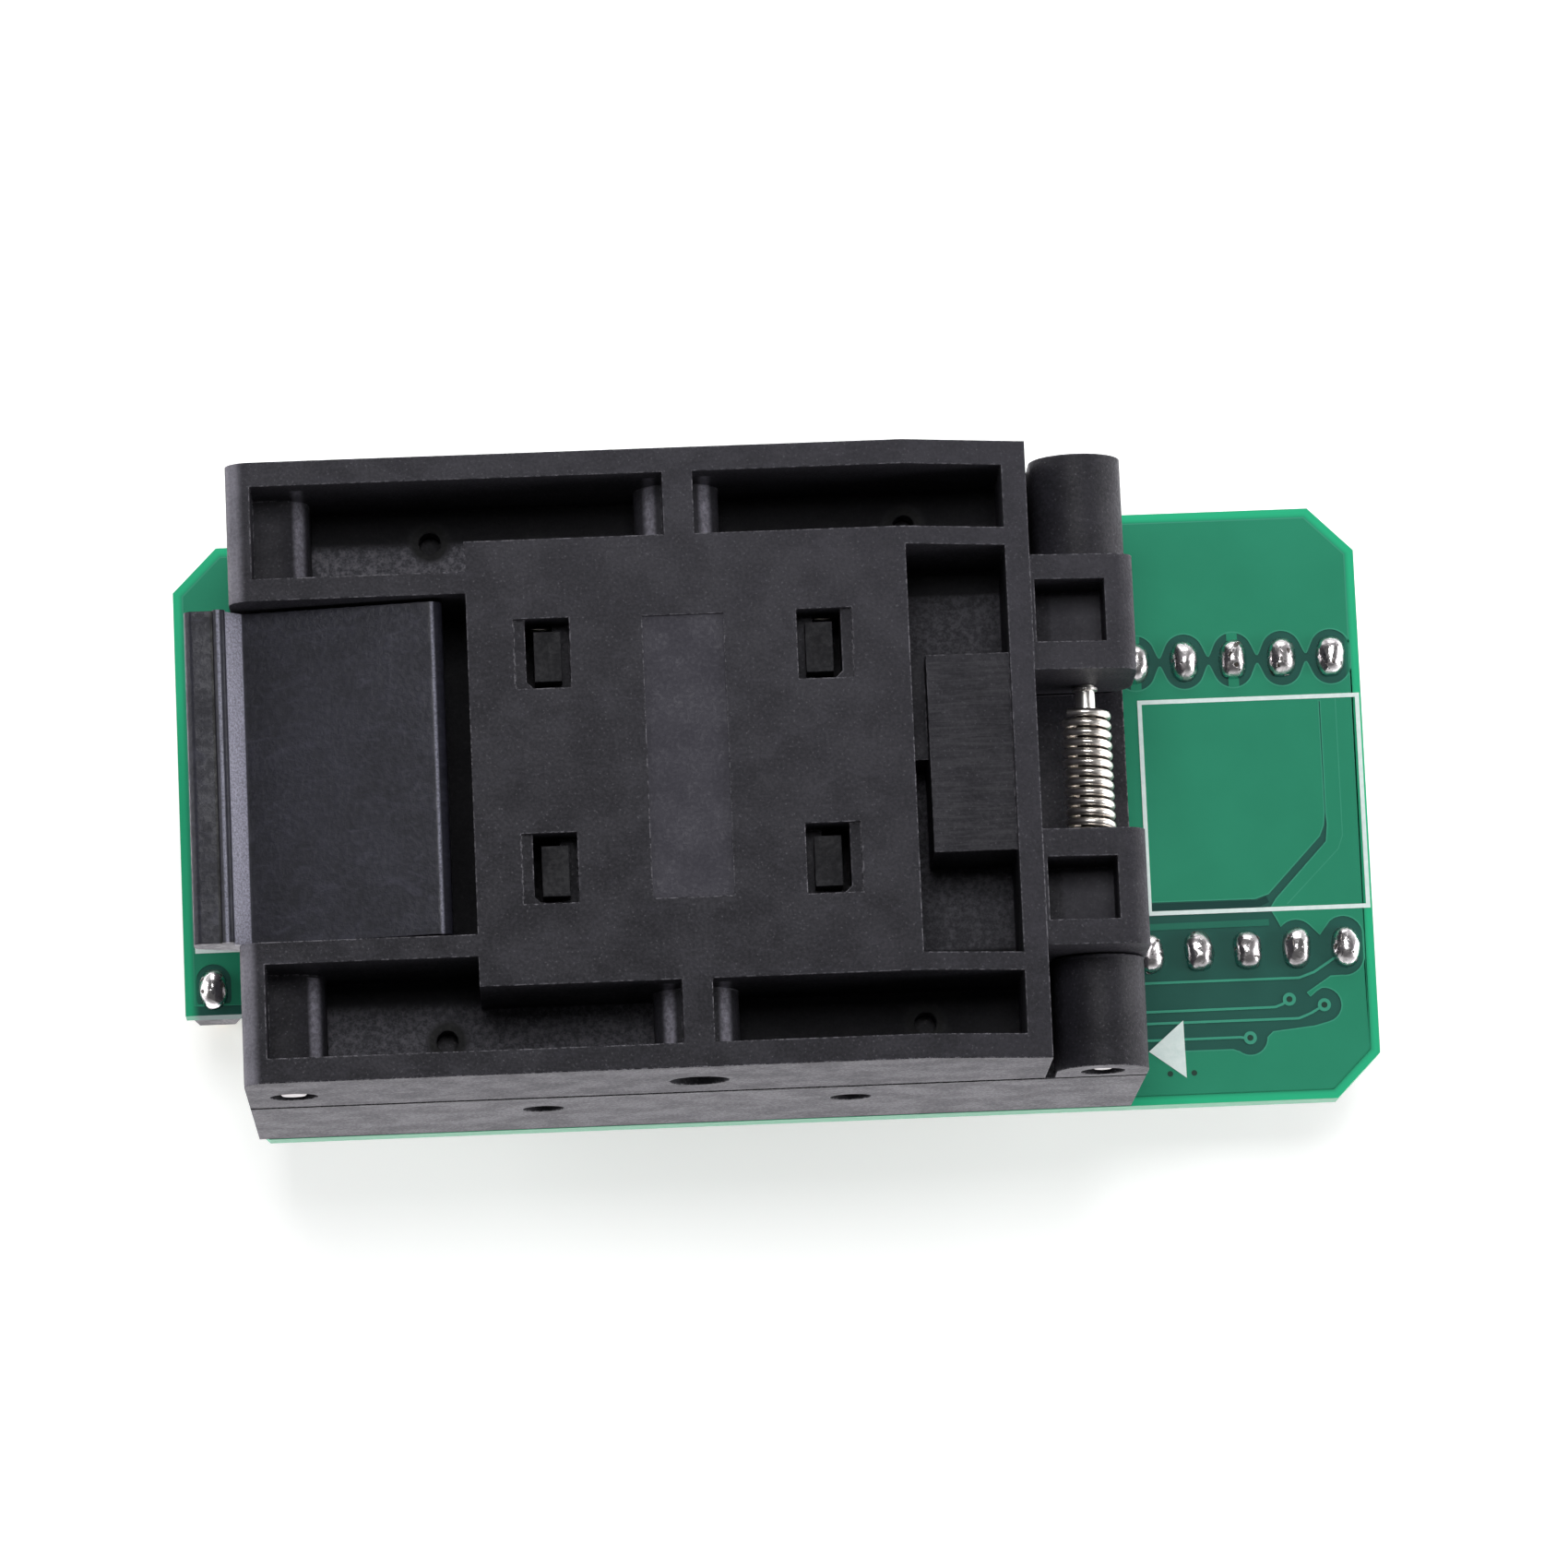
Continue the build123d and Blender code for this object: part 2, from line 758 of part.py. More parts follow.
    # Four windows, each with a sill outside and a hidden ledge inside for a hooked post
    for side in (-1, 1):
        window_in = chip_x + side * (window_offset_x - window_length / 2)
        window_out = chip_x + side * (window_offset_x + window_length / 2)
        sill_edge = window_out - side * window_sill
        ledge_edge = window_in + side * window_ledge
        for row in (-1, 1):
            window_south = row * window_offset_y - window_width / 2
            window_north = row * window_offset_y + window_width / 2
            with BuildSketch(Plane.XY.offset(lid_top - window_sill_drop)):
                slab(window_in, window_out, window_south, window_north)
            extrude(amount=window_sill_drop, mode=Mode.SUBTRACT)
            with BuildSketch(Plane.XY.offset(ledge_z)):
                with BuildLine():
                    Polyline(
                        (window_in, window_south),
                        (window_in, window_north),
                        (sill_edge, window_north),
                        (sill_edge, window_south + window_corner),
                        (sill_edge - side * window_corner, window_south),
                        close=True,
                    )
                make_face()
            extrude(amount=lid_height, mode=Mode.SUBTRACT)
            with BuildSketch(Plane.XY.offset(roof_under)):
                slab(ledge_edge, sill_edge, window_south + window_corner, window_north)
            extrude(amount=window_ledge_drop, mode=Mode.SUBTRACT)

    # Sunk field in the middle of the plate, left bare
    with BuildSketch(Plane((chip_x, 0, lid_top - label_depth))):
        Rectangle(label_width, label_length)
    extrude(amount=label_depth, mode=Mode.SUBTRACT)

    # Small vents in the pocket floors
    with BuildSketch(Plane.XY.offset(lid_bottom)):
        with Locations(*vent_places):
            RegularPolygon(vent_radius, vent_sides)
    extrude(amount=lid_floor, mode=Mode.SUBTRACT)

    # Bores for the hinge pin, the pivot pin and the latch pin
    with BuildSketch(Plane.XZ):
        with Locations((hinge_x, hinge_z)):
            Circle(hinge_pin_radius + running_fit)
        with Locations((chip_x, pivot_z)):
            Circle(pivot_pin_radius + running_fit)
        with Locations((latch_pin_x, latch_pin_z)):
            Circle(latch_pin_radius + running_fit)
    extrude(amount=socket_half, both=True, mode=Mode.SUBTRACT)
    for side in (-1, 1):
        with BuildSketch(across(side * (socket_half + pivot_pin_length / 2) / 2)):
            with Locations((chip_x, pivot_z)):
                Circle(pivot_hole_radius)
        extrude(amount=(socket_half - pivot_pin_length / 2) / 2, both=True, mode=Mode.SUBTRACT)
        with BuildSketch(across(side * (socket_half - latch_mouth_depth / 2))):
            with Locations((latch_pin_x, latch_pin_z)):
                Circle(latch_mouth_radius)
        extrude(amount=latch_mouth_depth / 2, both=True, mode=Mode.SUBTRACT)
save(lid.part, "lid")

# Latch pin and pivot pin
for pin_name, pin_x, pin_z, radius, length in (
    ("latch_pin", latch_pin_x, latch_pin_z, latch_pin_radius, latch_pin_length),
    ("pivot_pin", chip_x, pivot_z, pivot_pin_radius, pivot_pin_length),
):
    with BuildPart() as round_pin:
        with BuildSketch(Plane.XZ):
            with Locations((pin_x, pin_z)):
                Circle(radius)
        extrude(amount=length / 2, both=True)
    save(round_pin.part, pin_name)


# Latch: a rocking top plate with a thumb lip outside and a hook below
latch_half = arm_inner - latch_side_gap
latch_east = plate_west - latch_plate_gap
bevel_x = latch_valley_x - latch_bevel_width
bevel_z = valley_z + latch_bevel_rise
front_x = socket_west + front_wall_gap
core_east = latch_pin_x + latch_core_radius
plate_root_x = core_east + latch_neck
plate_slope = latch_slope_drop / (latch_east - latch_valley_x)
plate_root_z = latch_top - latch_plate_thickness - plate_slope * (latch_east - plate_root_x)
spring_cup_side = 2 * coil_radius + coil_wire + 2 * coil_cup_gap
hook_foot = catch_under - hook_lip_gap - hook_nose_height
with BuildPart() as latch:
    with BuildSketch(Plane.XZ):
        with BuildLine():
            Polyline(
                (latch_pin_x, latch_pin_z - latch_core_radius),
                (front_foot_x, latch_pin_z - latch_core_radius),
                (front_foot_x, lid_bottom + front_wall_foot_gap),
                (front_x, lid_bottom + front_wall_foot_gap),
                (front_x, lip_top - lip_root_drop),
                (lip_end_x, lip_top - lip_thickness),
                (lip_end_x, lip_top),
                (bevel_x - 2 * ridge_radius, lip_top),
                (bevel_x, bevel_z),
                (latch_valley_x, valley_z),
                (latch_east, latch_top),
                (latch_east, latch_top - latch_plate_thickness),
                (plate_root_x, plate_root_z),
                (core_east, latch_pin_z),
            )
            RadiusArc(
                (core_east, latch_pin_z),
                (latch_pin_x, latch_pin_z - latch_core_radius),
                latch_core_radius,
            )
        make_face()
        fillet(vertices().sort_by_distance((latch_east, latch_top, 0))[0], latch_edge_round)
        fillet(vertices().sort_by_distance((lip_end_x, lip_top, 0))[0], lip_round)
        fillet(vertices().sort_by_distance((lip_end_x, lip_top - lip_thickness, 0))[0], lip_round)
        with Locations((bevel_x - ridge_radius, lip_top)):
            Circle(ridge_radius)
    extrude(amount=latch_half, both=True)

    # Hook arm with its nose under the base's catch
    with BuildSketch(Plane.XZ):
        with BuildLine():
            Polyline(
                (hook_west, lip_top - lip_thickness),
                (hook_west, hook_foot),
                (nose_tip - catch_lead, hook_foot),
                (nose_tip, hook_foot + catch_lead),
                (nose_tip, hook_foot + hook_nose_height),
                (hook_east, hook_foot + hook_nose_height),
                (hook_east, latch_pin_z),
                (front_x, latch_pin_z),
                (front_x, lip_top - lip_thickness),
                close=True,
            )
        make_face()
    extrude(amount=hook_half_width, both=True)

    # Pin bore, and cups for the two springs under the plate
    with BuildSketch(Plane.XZ):
        with Locations((latch_pin_x, latch_pin_z)):
            Circle(latch_pin_radius + running_fit)
    extrude(amount=socket_half, both=True, mode=Mode.SUBTRACT)
    with BuildSketch(Plane.XY.offset(pocket_floor)):
        with Locations((latch_spring_x, -latch_spring_y), (latch_spring_x, latch_spring_y)):
            Rectangle(spring_cup_side, spring_cup_side)
    extrude(amount=latch_spring_cup, mode=Mode.SUBTRACT)
save(latch.part, "latch")

latch_springs = [
    coil(
        (latch_spring_x, side * latch_spring_y, pocket_floor),
        latch_spring_cup,
        latch_spring_turns,
        coil_radius,
        coil_wire,
    )
    for side in (-1, 1)
]
save(Compound(children=latch_springs), "latch_springs")


# Pressure plate: a pad that meets the chip, hung from the lid by four hooked posts
plate_west_side = cavity_west + plate_side_gap
plate_east_side = cavity_east - plate_side_gap
plate_half = cavity_half - plate_side_gap
spine_top = pivot_z + pivot_pin_radius + running_fit + spine_wall
with BuildPart() as pressure_plate:
    with BuildSketch(Plane.XY.offset(plate_under)):
        slab(plate_west_side, plate_east_side, -plate_half, plate_half)
    extrude(amount=plate_thickness)
    with BuildSketch(Plane.XY.offset(plate_under - pad_drop)):
        with Locations((chip_x, 0)):
            Rectangle(pad_length, pad_width)
    extrude(amount=pad_drop)
    chamfer(pressure_plate.faces().sort_by(Axis.Z)[0].edges(), nest_lead_in)

    # Spine round the pivot pin, with a slot as tall as the travel
    with BuildSketch(Plane.XY.offset(plate_top)):
        slab(chip_x - spine_width / 2, chip_x + spine_width / 2, -plate_half, plate_half)
    extrude(amount=spine_top - plate_top)
    with BuildSketch(Plane.XZ):
        with Locations((chip_x, pivot_z - plate_travel / 2)):
            SlotOverall(
                2 * pivot_pin_radius + 2 * running_fit + plate_travel,
                2 * pivot_pin_radius + 2 * running_fit,
                rotation=90,
            )
    extrude(amount=socket_half, both=True, mode=Mode.SUBTRACT)

    # Posts through the lid's windows, each with a barb over the ledge
    for side in (-1, 1):
        post_in = chip_x + side * (window_offset_x - window_length / 2 + window_ledge + post_gap)
        post_out = post_in + side * post_width
        barb_in = post_in - side * barb_reach
        for row in (-1, 1):
            post_south = row * window_offset_y - post_depth / 2
            post_north = row * window_offset_y + post_depth / 2
            with BuildSketch(Plane.XY.offset(plate_top)):
                slab(post_in, post_out, post_south, post_north)
            extrude(amount=ledge_z + post_gap - plate_top)
            with BuildSketch(Plane.XY.offset(ledge_z + post_gap)):
                slab(barb_in, post_out, post_south, post_north)
            extrude(amount=barb_height)
save(pressure_plate.part, "pressure_plate")

pressure_springs = [
    coil(
        (chip_x + x_side * plate_spring_x, y_side * plate_spring_y, plate_top),
        roof_under - plate_top,
        plate_spring_turns,
        coil_radius,
        coil_wire,
    )
    for x_side in (-1, 1)
    for y_side in (-1, 1)
]
save(Compound(children=pressure_springs), "pressure_springs")
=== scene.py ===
import bmesh
import bpy
from math import cos, pi, radians, sin, sqrt
from mathutils import Matrix, Vector


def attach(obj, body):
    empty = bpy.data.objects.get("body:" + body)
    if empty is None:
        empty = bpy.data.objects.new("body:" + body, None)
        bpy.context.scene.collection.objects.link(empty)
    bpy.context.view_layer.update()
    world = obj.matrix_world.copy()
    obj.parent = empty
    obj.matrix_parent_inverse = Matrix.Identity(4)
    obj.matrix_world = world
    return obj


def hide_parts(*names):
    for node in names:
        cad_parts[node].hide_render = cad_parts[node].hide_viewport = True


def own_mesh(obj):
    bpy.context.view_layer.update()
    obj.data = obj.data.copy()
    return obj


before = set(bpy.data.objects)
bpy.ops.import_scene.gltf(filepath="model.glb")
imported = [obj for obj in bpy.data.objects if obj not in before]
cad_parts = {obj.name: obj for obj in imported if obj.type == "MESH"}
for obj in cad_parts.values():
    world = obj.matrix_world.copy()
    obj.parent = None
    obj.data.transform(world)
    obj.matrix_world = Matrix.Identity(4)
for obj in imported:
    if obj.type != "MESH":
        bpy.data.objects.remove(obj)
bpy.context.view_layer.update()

# Clamshell chip socket on a pin adapter board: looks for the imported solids.
# Sizes are in millimetres, as in the part's source, and become metres where a mesh is made.
MM = 0.001

# Board and pins
half_length = 30.7
half_width = 15.5
corner_cut = 2.3
strip_under = 6.0
board_under = 8.54
board_top = 10.14
pin_pitch = 2.54
row_y = 7.62
pins_per_row = 24
pin_side = 0.64
pin_point = 0.35
joint_width = 1.46
joint_length = 2.1
joint_height = 0.82

# Socket
socket_west = -27.1
chip_x = -4.75
base_top = 22.14
lid_bottom = 22.24
lid_top = 31.54
pocket_floor = 23.64
plate_half = 9.7
hinge_x = 15.4
hinge_z = 24.14
pivot_z = 26.44
latch_pin_x = -24.8
latch_pin_z = 26.14
cross_pin_z = 17.99
cross_pin_offset = 7.75
guide_top = 20.14
plate_top = 25.14
roof_under = 28.74
nest_bottom = 20.64
nest_spring_depth = 2.4
latch_spring_cup = 5.5

# Marks on the mouldings
field_reach = (2.02, 7.07)
field_depth = 0.12
vents_x = (-17.15, 6.7)
vent_y = 12.65
boss_offset = 1.38
latch_boss_offset = 1.2
boss_outer_y = 14.2
boss_top = 30.0
slot_reach = 8.9
slot_east = -14.0
north_shade_y = 12.25
south_shade_y = -11.3
ear_west = 13.6
ear_z = 26.5
ear_reach = 10.0
rear_block_x = 9.35
rear_block_drop = 2.2
latch_bevel = (-26.9, 29.9)
latch_ridge = (-27.66, 30.7)
latch_groove = (-27.98, 30.5)
latch_edge = (-17.1, 30.8)

# Thin layers on the board
pour_rise = 0.03
gap_rise = 0.01
trace_rise = 0.04
print_rise = 0.055


# Helpers for shader trees
def put(tree, kind, inputs=None, **settings):
    """Add one node, with its settings, its input values and its links."""
    made = tree.nodes.new(kind)
    for name, value in settings.items():
        setattr(made, name, value)
    for key, value in (inputs or {}).items():
        if isinstance(value, bpy.types.NodeSocket):
            tree.links.new(value, made.inputs[key])
        else:
            made.inputs[key].default_value = value
    return made


def calc(tree, operation, a, b=0.0, c=0.0):
    """Give the result of one arithmetic step."""
    return put(tree, "ShaderNodeMath", {0: a, 1: b, 2: c}, operation=operation).outputs[0]


def minus(tree, a, b):
    return calc(tree, "SUBTRACT", a, b)


def absolute(tree, value):
    return calc(tree, "ABSOLUTE", value)


def product(tree, *values):
    """Multiply values, or join masks so that only what all of them cover is left."""
    total = values[0]
    for value in values[1:]:
        total = calc(tree, "MULTIPLY", total, value)
    return total


def spread(tree, value, low, high, to_low=0.0, to_high=1.0):
    """Stretch a value from one range to another, smoothly and clamped."""
    made = put(
        tree,
        "ShaderNodeMapRange",
        {"Value": value, "From Min": low, "From Max": high, "To Min": to_low, "To Max": to_high},
        interpolation_type="SMOOTHSTEP",
    )
    return made.outputs["Result"]


def fade(tree, value, low, high):
    """Give 1 up to the low end of a range and 0 from its high end on."""
    return spread(tree, value, low, high, 1.0, 0.0)


def tint(tree, factor, a, b):
    """Mix two colours."""
    return put(tree, "ShaderNodeMix", {0: factor, 6: a, 7: b}, data_type="RGBA").outputs[2]


def noise(tree, place, scale, detail, roughness=0.5, distortion=0.0):
    """Give soft noise from 0 to 1."""
    values = {"Vector": place, "Scale": scale, "Detail": detail, "Roughness": roughness, "Distortion": distortion}
    return put(tree, "ShaderNodeTexNoise", values).outputs[0]


def parts_of(tree, vector):
    return put(tree, "ShaderNodeSeparateXYZ", {0: vector}).outputs


def rgb(red, green, blue):
    return (red, green, blue, 1.0)


def shader_group(name, inputs, outputs):
    """Start a shader node group with named sockets."""
    tree = bpy.data.node_groups.new(name, "ShaderNodeTree")
    for label, kind, value in inputs:
        socket = tree.interface.new_socket(label, in_out="INPUT", socket_type=kind)
        if value is not None:
            socket.default_value = value
    for label, kind in outputs:
        tree.interface.new_socket(label, in_out="OUTPUT", socket_type=kind)
    return tree, tree.nodes.new("NodeGroupInput"), tree.nodes.new("NodeGroupOutput")


FLOAT = "NodeSocketFloat"
VECTOR = "NodeSocketVector"


def make_grain_group():
    """Moulded grain: a fine mottle, pale flecks of filler and a matching height."""
    tree, start, end = shader_group(
        "moulded_grain",
        [("Place", VECTOR, None), ("Size", FLOAT, 0.2), ("Flecks", FLOAT, 0.5), ("Cloud", FLOAT, 1.0)],
        [("Shade", FLOAT), ("Fleck", FLOAT), ("Height", FLOAT)],
    )
    place = start.outputs["Place"]
    density = calc(tree, "DIVIDE", 1.0, start.outputs["Size"])
    fine = noise(tree, place, density, 3.0, 0.6)
    cloud_scale = product(tree, start.outputs["Cloud"], 0.45)
    cloud = noise(tree, place, cloud_scale, 2.0)
    dot_density = product(tree, density, 0.9)
    dots = put(tree, "ShaderNodeTexVoronoi", {"Vector": place, "Scale": dot_density, "Randomness": 1.0})
    close = fade(tree, dots.outputs["Distance"], 0.16, 0.34)
    chosen = spread(tree, fine, 0.5, 0.62)
    fleck = product(tree, close, chosen, start.outputs["Flecks"])
    fine_part = spread(tree, fine, 0.3, 0.7)
    cloud_part = spread(tree, cloud, 0.35, 0.65)
    shade = calc(tree, "ADD", product(tree, fine_part, 0.6), product(tree, cloud_part, 0.4))
    tree.links.new(shade, end.inputs["Shade"])
    tree.links.new(fleck, end.inputs["Fleck"])
    tree.links.new(calc(tree, "ADD", fine_part, product(tree, fleck, 0.5)), end.inputs["Height"])
    return tree


def make_scuff_group():
    """Soft curved rub marks, for smooth plastic and metal."""
    tree, start, end = shader_group(
        "rub_marks",
        [("Place", VECTOR, None), ("Size", FLOAT, 2.0), ("Amount", FLOAT, 0.5)],
        [("Mark", FLOAT)],
    )
    density = calc(tree, "DIVIDE", 1.0, start.outputs["Size"])
    marks = []
    for turn, stretch in ((0.5, 2.6), (2.2, 2.0)):
        values = {"Vector": start.outputs["Place"], "Rotation": (0, 0, turn), "Scale": (1.0, stretch, 1.0)}
        way = put(tree, "ShaderNodeMapping", values).outputs[0]
        marks.append(spread(tree, noise(tree, way, density, 5.0, 0.6, 1.2), 0.52, 0.75))
    total = product(tree, calc(tree, "MAXIMUM", *marks), start.outputs["Amount"])
    tree.links.new(total, end.inputs["Mark"])
    return tree


grain_group = make_grain_group()
scuff_group = make_scuff_group()


def start_material(name):
    """Start a material and give its tree, its shader and its place in millimetres."""
    material = bpy.data.materials.new(name)
    material.use_nodes = True
    tree = material.node_tree
    shader = tree.nodes["Principled BSDF"]
    metres = put(tree, "ShaderNodeTexCoord").outputs["Object"]
    place = put(tree, "ShaderNodeVectorMath", {0: metres, "Scale": 1.0 / MM}, operation="SCALE").outputs[0]
    return material, tree, shader, place


def use_group(tree, group, inputs):
    return put(tree, "ShaderNodeGroup", inputs, node_tree=group)


def join(tree, value, shader, name="Base Color"):
    tree.links.new(value, shader.inputs[name])


def bump(tree, shader, height, depth_mm, rounded=None):
    """Raise the surface by a height, over edges that are rounded if a normal for them is given."""
    made = put(tree, "ShaderNodeBump", {"Height": height, "Distance": depth_mm * MM})
    if rounded:
        tree.links.new(rounded, made.inputs["Normal"])
    join(tree, made.outputs[0], shader, "Normal")


def upright_part(tree):
    """How far a face looks along the part's own Z, whichever way its body is turned."""
    return parts_of(tree, put(tree, "ShaderNodeTexCoord").outputs["Normal"])[2]


def worn_and_highlit_edges(tree, place, rounded):
    """Give specks along the edges, where the rounded normal leaves the true one, as worn spots and painted highlight.
    """
    flat = put(tree, "ShaderNodeNewGeometry").outputs["True Normal"]
    along = put(tree, "ShaderNodeVectorMath", {0: rounded, 1: flat}, operation="DOT_PRODUCT")
    line = fade(tree, along.outputs["Value"], 0.9, 0.995)
    specks = noise(tree, place, 3.5, 4.0, 0.75)
    return product(tree, line, spread(tree, specks, 0.44, 0.62))


def near(tree, value, middle, reach, soft=0.04):
    """Give 1 where a value is within reach of the middle, and 0 outside."""
    away = absolute(tree, minus(tree, value, middle))
    return fade(tree, away, reach - soft, reach + soft)


# Moulded plastics
PLASTIC_IOR = 1.27


def make_moulded(name, dark, light, fleck_colour, size, flecks, rough, depth, marks=0.0, edge=0.06, wear_and_highlight=0.0):
    """Filled plastic: mottled colour, pale flecks, a fine bump and eased edges, specked where worn and with painted
    highlight.
    """
    material, tree, shader, place = start_material(name)
    grain = use_group(tree, grain_group, {"Place": place, "Size": size, "Flecks": flecks})
    colour = tint(tree, grain.outputs["Shade"], rgb(*dark), rgb(*light))
    colour = tint(tree, grain.outputs["Fleck"], colour, rgb(*fleck_colour))
    roughness = spread(tree, grain.outputs["Shade"], 0.0, 1.0, rough + 0.08, rough - 0.08)
    if marks:
        scuff = use_group(tree, scuff_group, {"Place": place, "Amount": marks})
        colour = tint(tree, scuff.outputs["Mark"], colour, rgb(*[value * 2.2 for value in light]))
        roughness = calc(tree, "ADD", roughness, product(tree, scuff.outputs["Mark"], 0.1))
    rounded = put(tree, "ShaderNodeBevel", {"Radius": edge * MM}, samples=4).outputs[0]
    if wear_and_highlight:
        # Specks along the edges: partly worn spots, partly painted highlight
        specks = product(tree, worn_and_highlit_edges(tree, place, rounded), wear_and_highlight)
        colour = tint(tree, specks, colour, rgb(*[value * 2.4 for value in fleck_colour]))
    join(tree, colour, shader)
    join(tree, roughness, shader, "Roughness")
    bump(tree, shader, grain.outputs["Height"], depth, rounded)
    shader.inputs["IOR"].default_value = PLASTIC_IOR
    return material, tree, shader, place, colour, roughness, grain, rounded


charcoal = {
    "dark": (0.0095, 0.0092, 0.012),
    "light": (0.022, 0.021, 0.027),
    "fleck_colour": (0.12, 0.116, 0.13),
    "size": 0.16,
    "flecks": 0.3,
    "edge": 0.12,
    "wear_and_highlight": 0.75,
}
# Grey for painted light on faces that the lamps catch
painted_light_grey = (0.07, 0.067, 0.082)


def mark_body(tree, shader, place, colour, parting):
    """Add what the lid and the base share: painted shade in the parting gap, and painted light on the up-facing tops of
    the hinge ears.
    """
    x, y, z = parts_of(tree, place)
    upright = upright_part(tree)
    side_face = fade(tree, absolute(tree, upright), 0.2, 0.4)
    # Painted shade: a near-black line with less reflection in the thin gap where the lid meets the base
    line = product(tree, near(tree, z, parting, 0.2, 0.05), side_face)
    colour = tint(tree, line, colour, rgb(0.002, 0.002, 0.002))
    join(tree, calc(tree, "MULTIPLY_ADD", line, -0.5, 0.5), shader, "Specular IOR Level")
    # Painted light: the up-facing tops of the hinge ears drawn lighter
    ears = product(
        tree,
        spread(tree, upright, 0.3, 0.95),
        spread(tree, x, ear_west, ear_west + 0.3),
        near(tree, z, ear_z, 2.0),
        fade(tree, absolute(tree, y), ear_reach, ear_reach + 0.1),
    )
    return tint(tree, product(tree, ears, 0.42), colour, rgb(*painted_light_grey))


def make_lid_plastic():
    """The lid's plastic: painted light over its top and round west edge, painted highlights on the bosses, its bare
    field, its pocket floors with painted light and shade, and its rear block.
    """
    material, tree, shader, place, colour, roughness, grain, rounded = make_moulded(
        "lid_plastic", **charcoal, rough=0.58, depth=0.01, marks=0.22
    )
    x, y, z = parts_of(tree, place)

    # Painted light: the top is a little lighter to the north-east, and much lighter over its round west edge, speckled
    # by the grain
    painted_light_north_east = spread(tree, calc(tree, "MULTIPLY_ADD", x, 0.5, y), -16.0, 16.0, 0.0, 0.17)
    colour = tint(tree, painted_light_north_east, colour, rgb(*painted_light_grey))
    lit_west_round = fade(tree, x, socket_west + 0.45, socket_west + 0.95)
    lit_west_round = product(tree, lit_west_round, spread(tree, upright_part(tree), 0.1, 0.45), near(tree, z, lid_top, 1.4, 0.2))
    wear_and_highlight = calc(tree, "MULTIPLY_ADD", grain.outputs["Shade"], 0.5, 0.55)
    colour = tint(tree, product(tree, lit_west_round, wear_and_highlight), colour, rgb(0.135, 0.130, 0.155))
    field = product(
        tree,
        near(tree, x, chip_x, field_reach[0]),
        near(tree, y, 0.0, field_reach[1]),
        near(tree, z, lid_top - field_depth, 0.05),
    )
    smooth = tint(tree, grain.outputs["Shade"], rgb(0.024, 0.0225, 0.031), rgb(0.034, 0.032, 0.043))
    colour = tint(tree, field, colour, smooth)
    roughness = minus(tree, roughness, product(tree, field, 0.1))

    # Darker smooth ring round each vent in the pocket floors
    along = minus(tree, absolute(tree, y), vent_y)
    square = product(tree, along, along)
    rings = []
    for vent_x in vents_x:
        across = minus(tree, x, vent_x)
        reach = calc(tree, "SQRT", calc(tree, "MULTIPLY_ADD", across, across, square))
        rings.append(fade(tree, reach, 0.8, 1.25))
    floor_face = product(tree, near(tree, z, pocket_floor, 0.1), spread(tree, upright_part(tree), 0.7, 0.9))
    ring = product(tree, calc(tree, "MAXIMUM", *rings), floor_face)
    colour = tint(tree, ring, colour, rgb(0.007, 0.007, 0.008))

    # Painted highlights: pale, pitted stripes on the round bosses that hold the pins
    beside = minus(tree, absolute(tree, minus(tree, x, chip_x)), boss_offset)
    beside_latch = minus(tree, x, latch_pin_x + latch_boss_offset)
    boss_highlights = [fade(tree, absolute(tree, away), 0.08, 0.4) for away in (beside, beside_latch)]
    outside = spread(tree, absolute(tree, y), plate_half, plate_half + 0.05)
    pitted = spread(tree, noise(tree, place, 4.0, 5.0, 0.75), 0.36, 0.66)
    low_part = product(tree, fade(tree, z, boss_top, boss_top + 0.2), spread(tree, z, pocket_floor, pocket_floor + 0.2))
    inside = fade(tree, absolute(tree, y), boss_outer_y, boss_outer_y + 0.2)
    wear_and_highlight = calc(tree, "MULTIPLY_ADD", pitted, 0.5, 0.4)
    boss_highlight = product(tree, calc(tree, "MAXIMUM", *boss_highlights), outside, inside, low_part, wear_and_highlight)
    colour = tint(tree, boss_highlight, colour, rgb(0.26, 0.25, 0.30))

    # The pocket floors were left by a spark-cut tool: pitted and rougher. Painted light on their open strips, and
    # painted shade under their north walls, in the latch slot and over the east pockets
    within = fade(tree, absolute(tree, y), slot_reach, slot_reach + 0.2)
    slot = product(tree, within, fade(tree, x, slot_east - 1.0, slot_east))
    north = product(tree, fade(tree, y, north_shade_y, north_shade_y + 0.55), spread(tree, y, 0.0, 1.0))
    south = spread(tree, y, south_shade_y, south_shade_y + 0.8, 0.72, 0.0)
    side_light = calc(tree, "MAXIMUM", north, south)
    side_light = product(tree, side_light, spread(tree, x, chip_x - 1.0, chip_x + 1.0, 1.0, 0.04))
    lit = calc(tree, "MAXIMUM", side_light, product(tree, within, 0.5))
    lit = product(tree, lit, minus(tree, 1.0, slot))
    floor = product(tree, floor_face, minus(tree, 1.0, ring))
    # The pale floor colour is painted light; the near-black one is painted shade
    floor_light_and_shade = tint(tree, pitted, rgb(0.048, 0.048, 0.058), rgb(0.18, 0.175, 0.20))
    floor_light_and_shade = tint(tree, lit, rgb(0.010, 0.010, 0.012), floor_light_and_shade)
    colour = tint(tree, product(tree, floor, 0.85), colour, floor_light_and_shade)

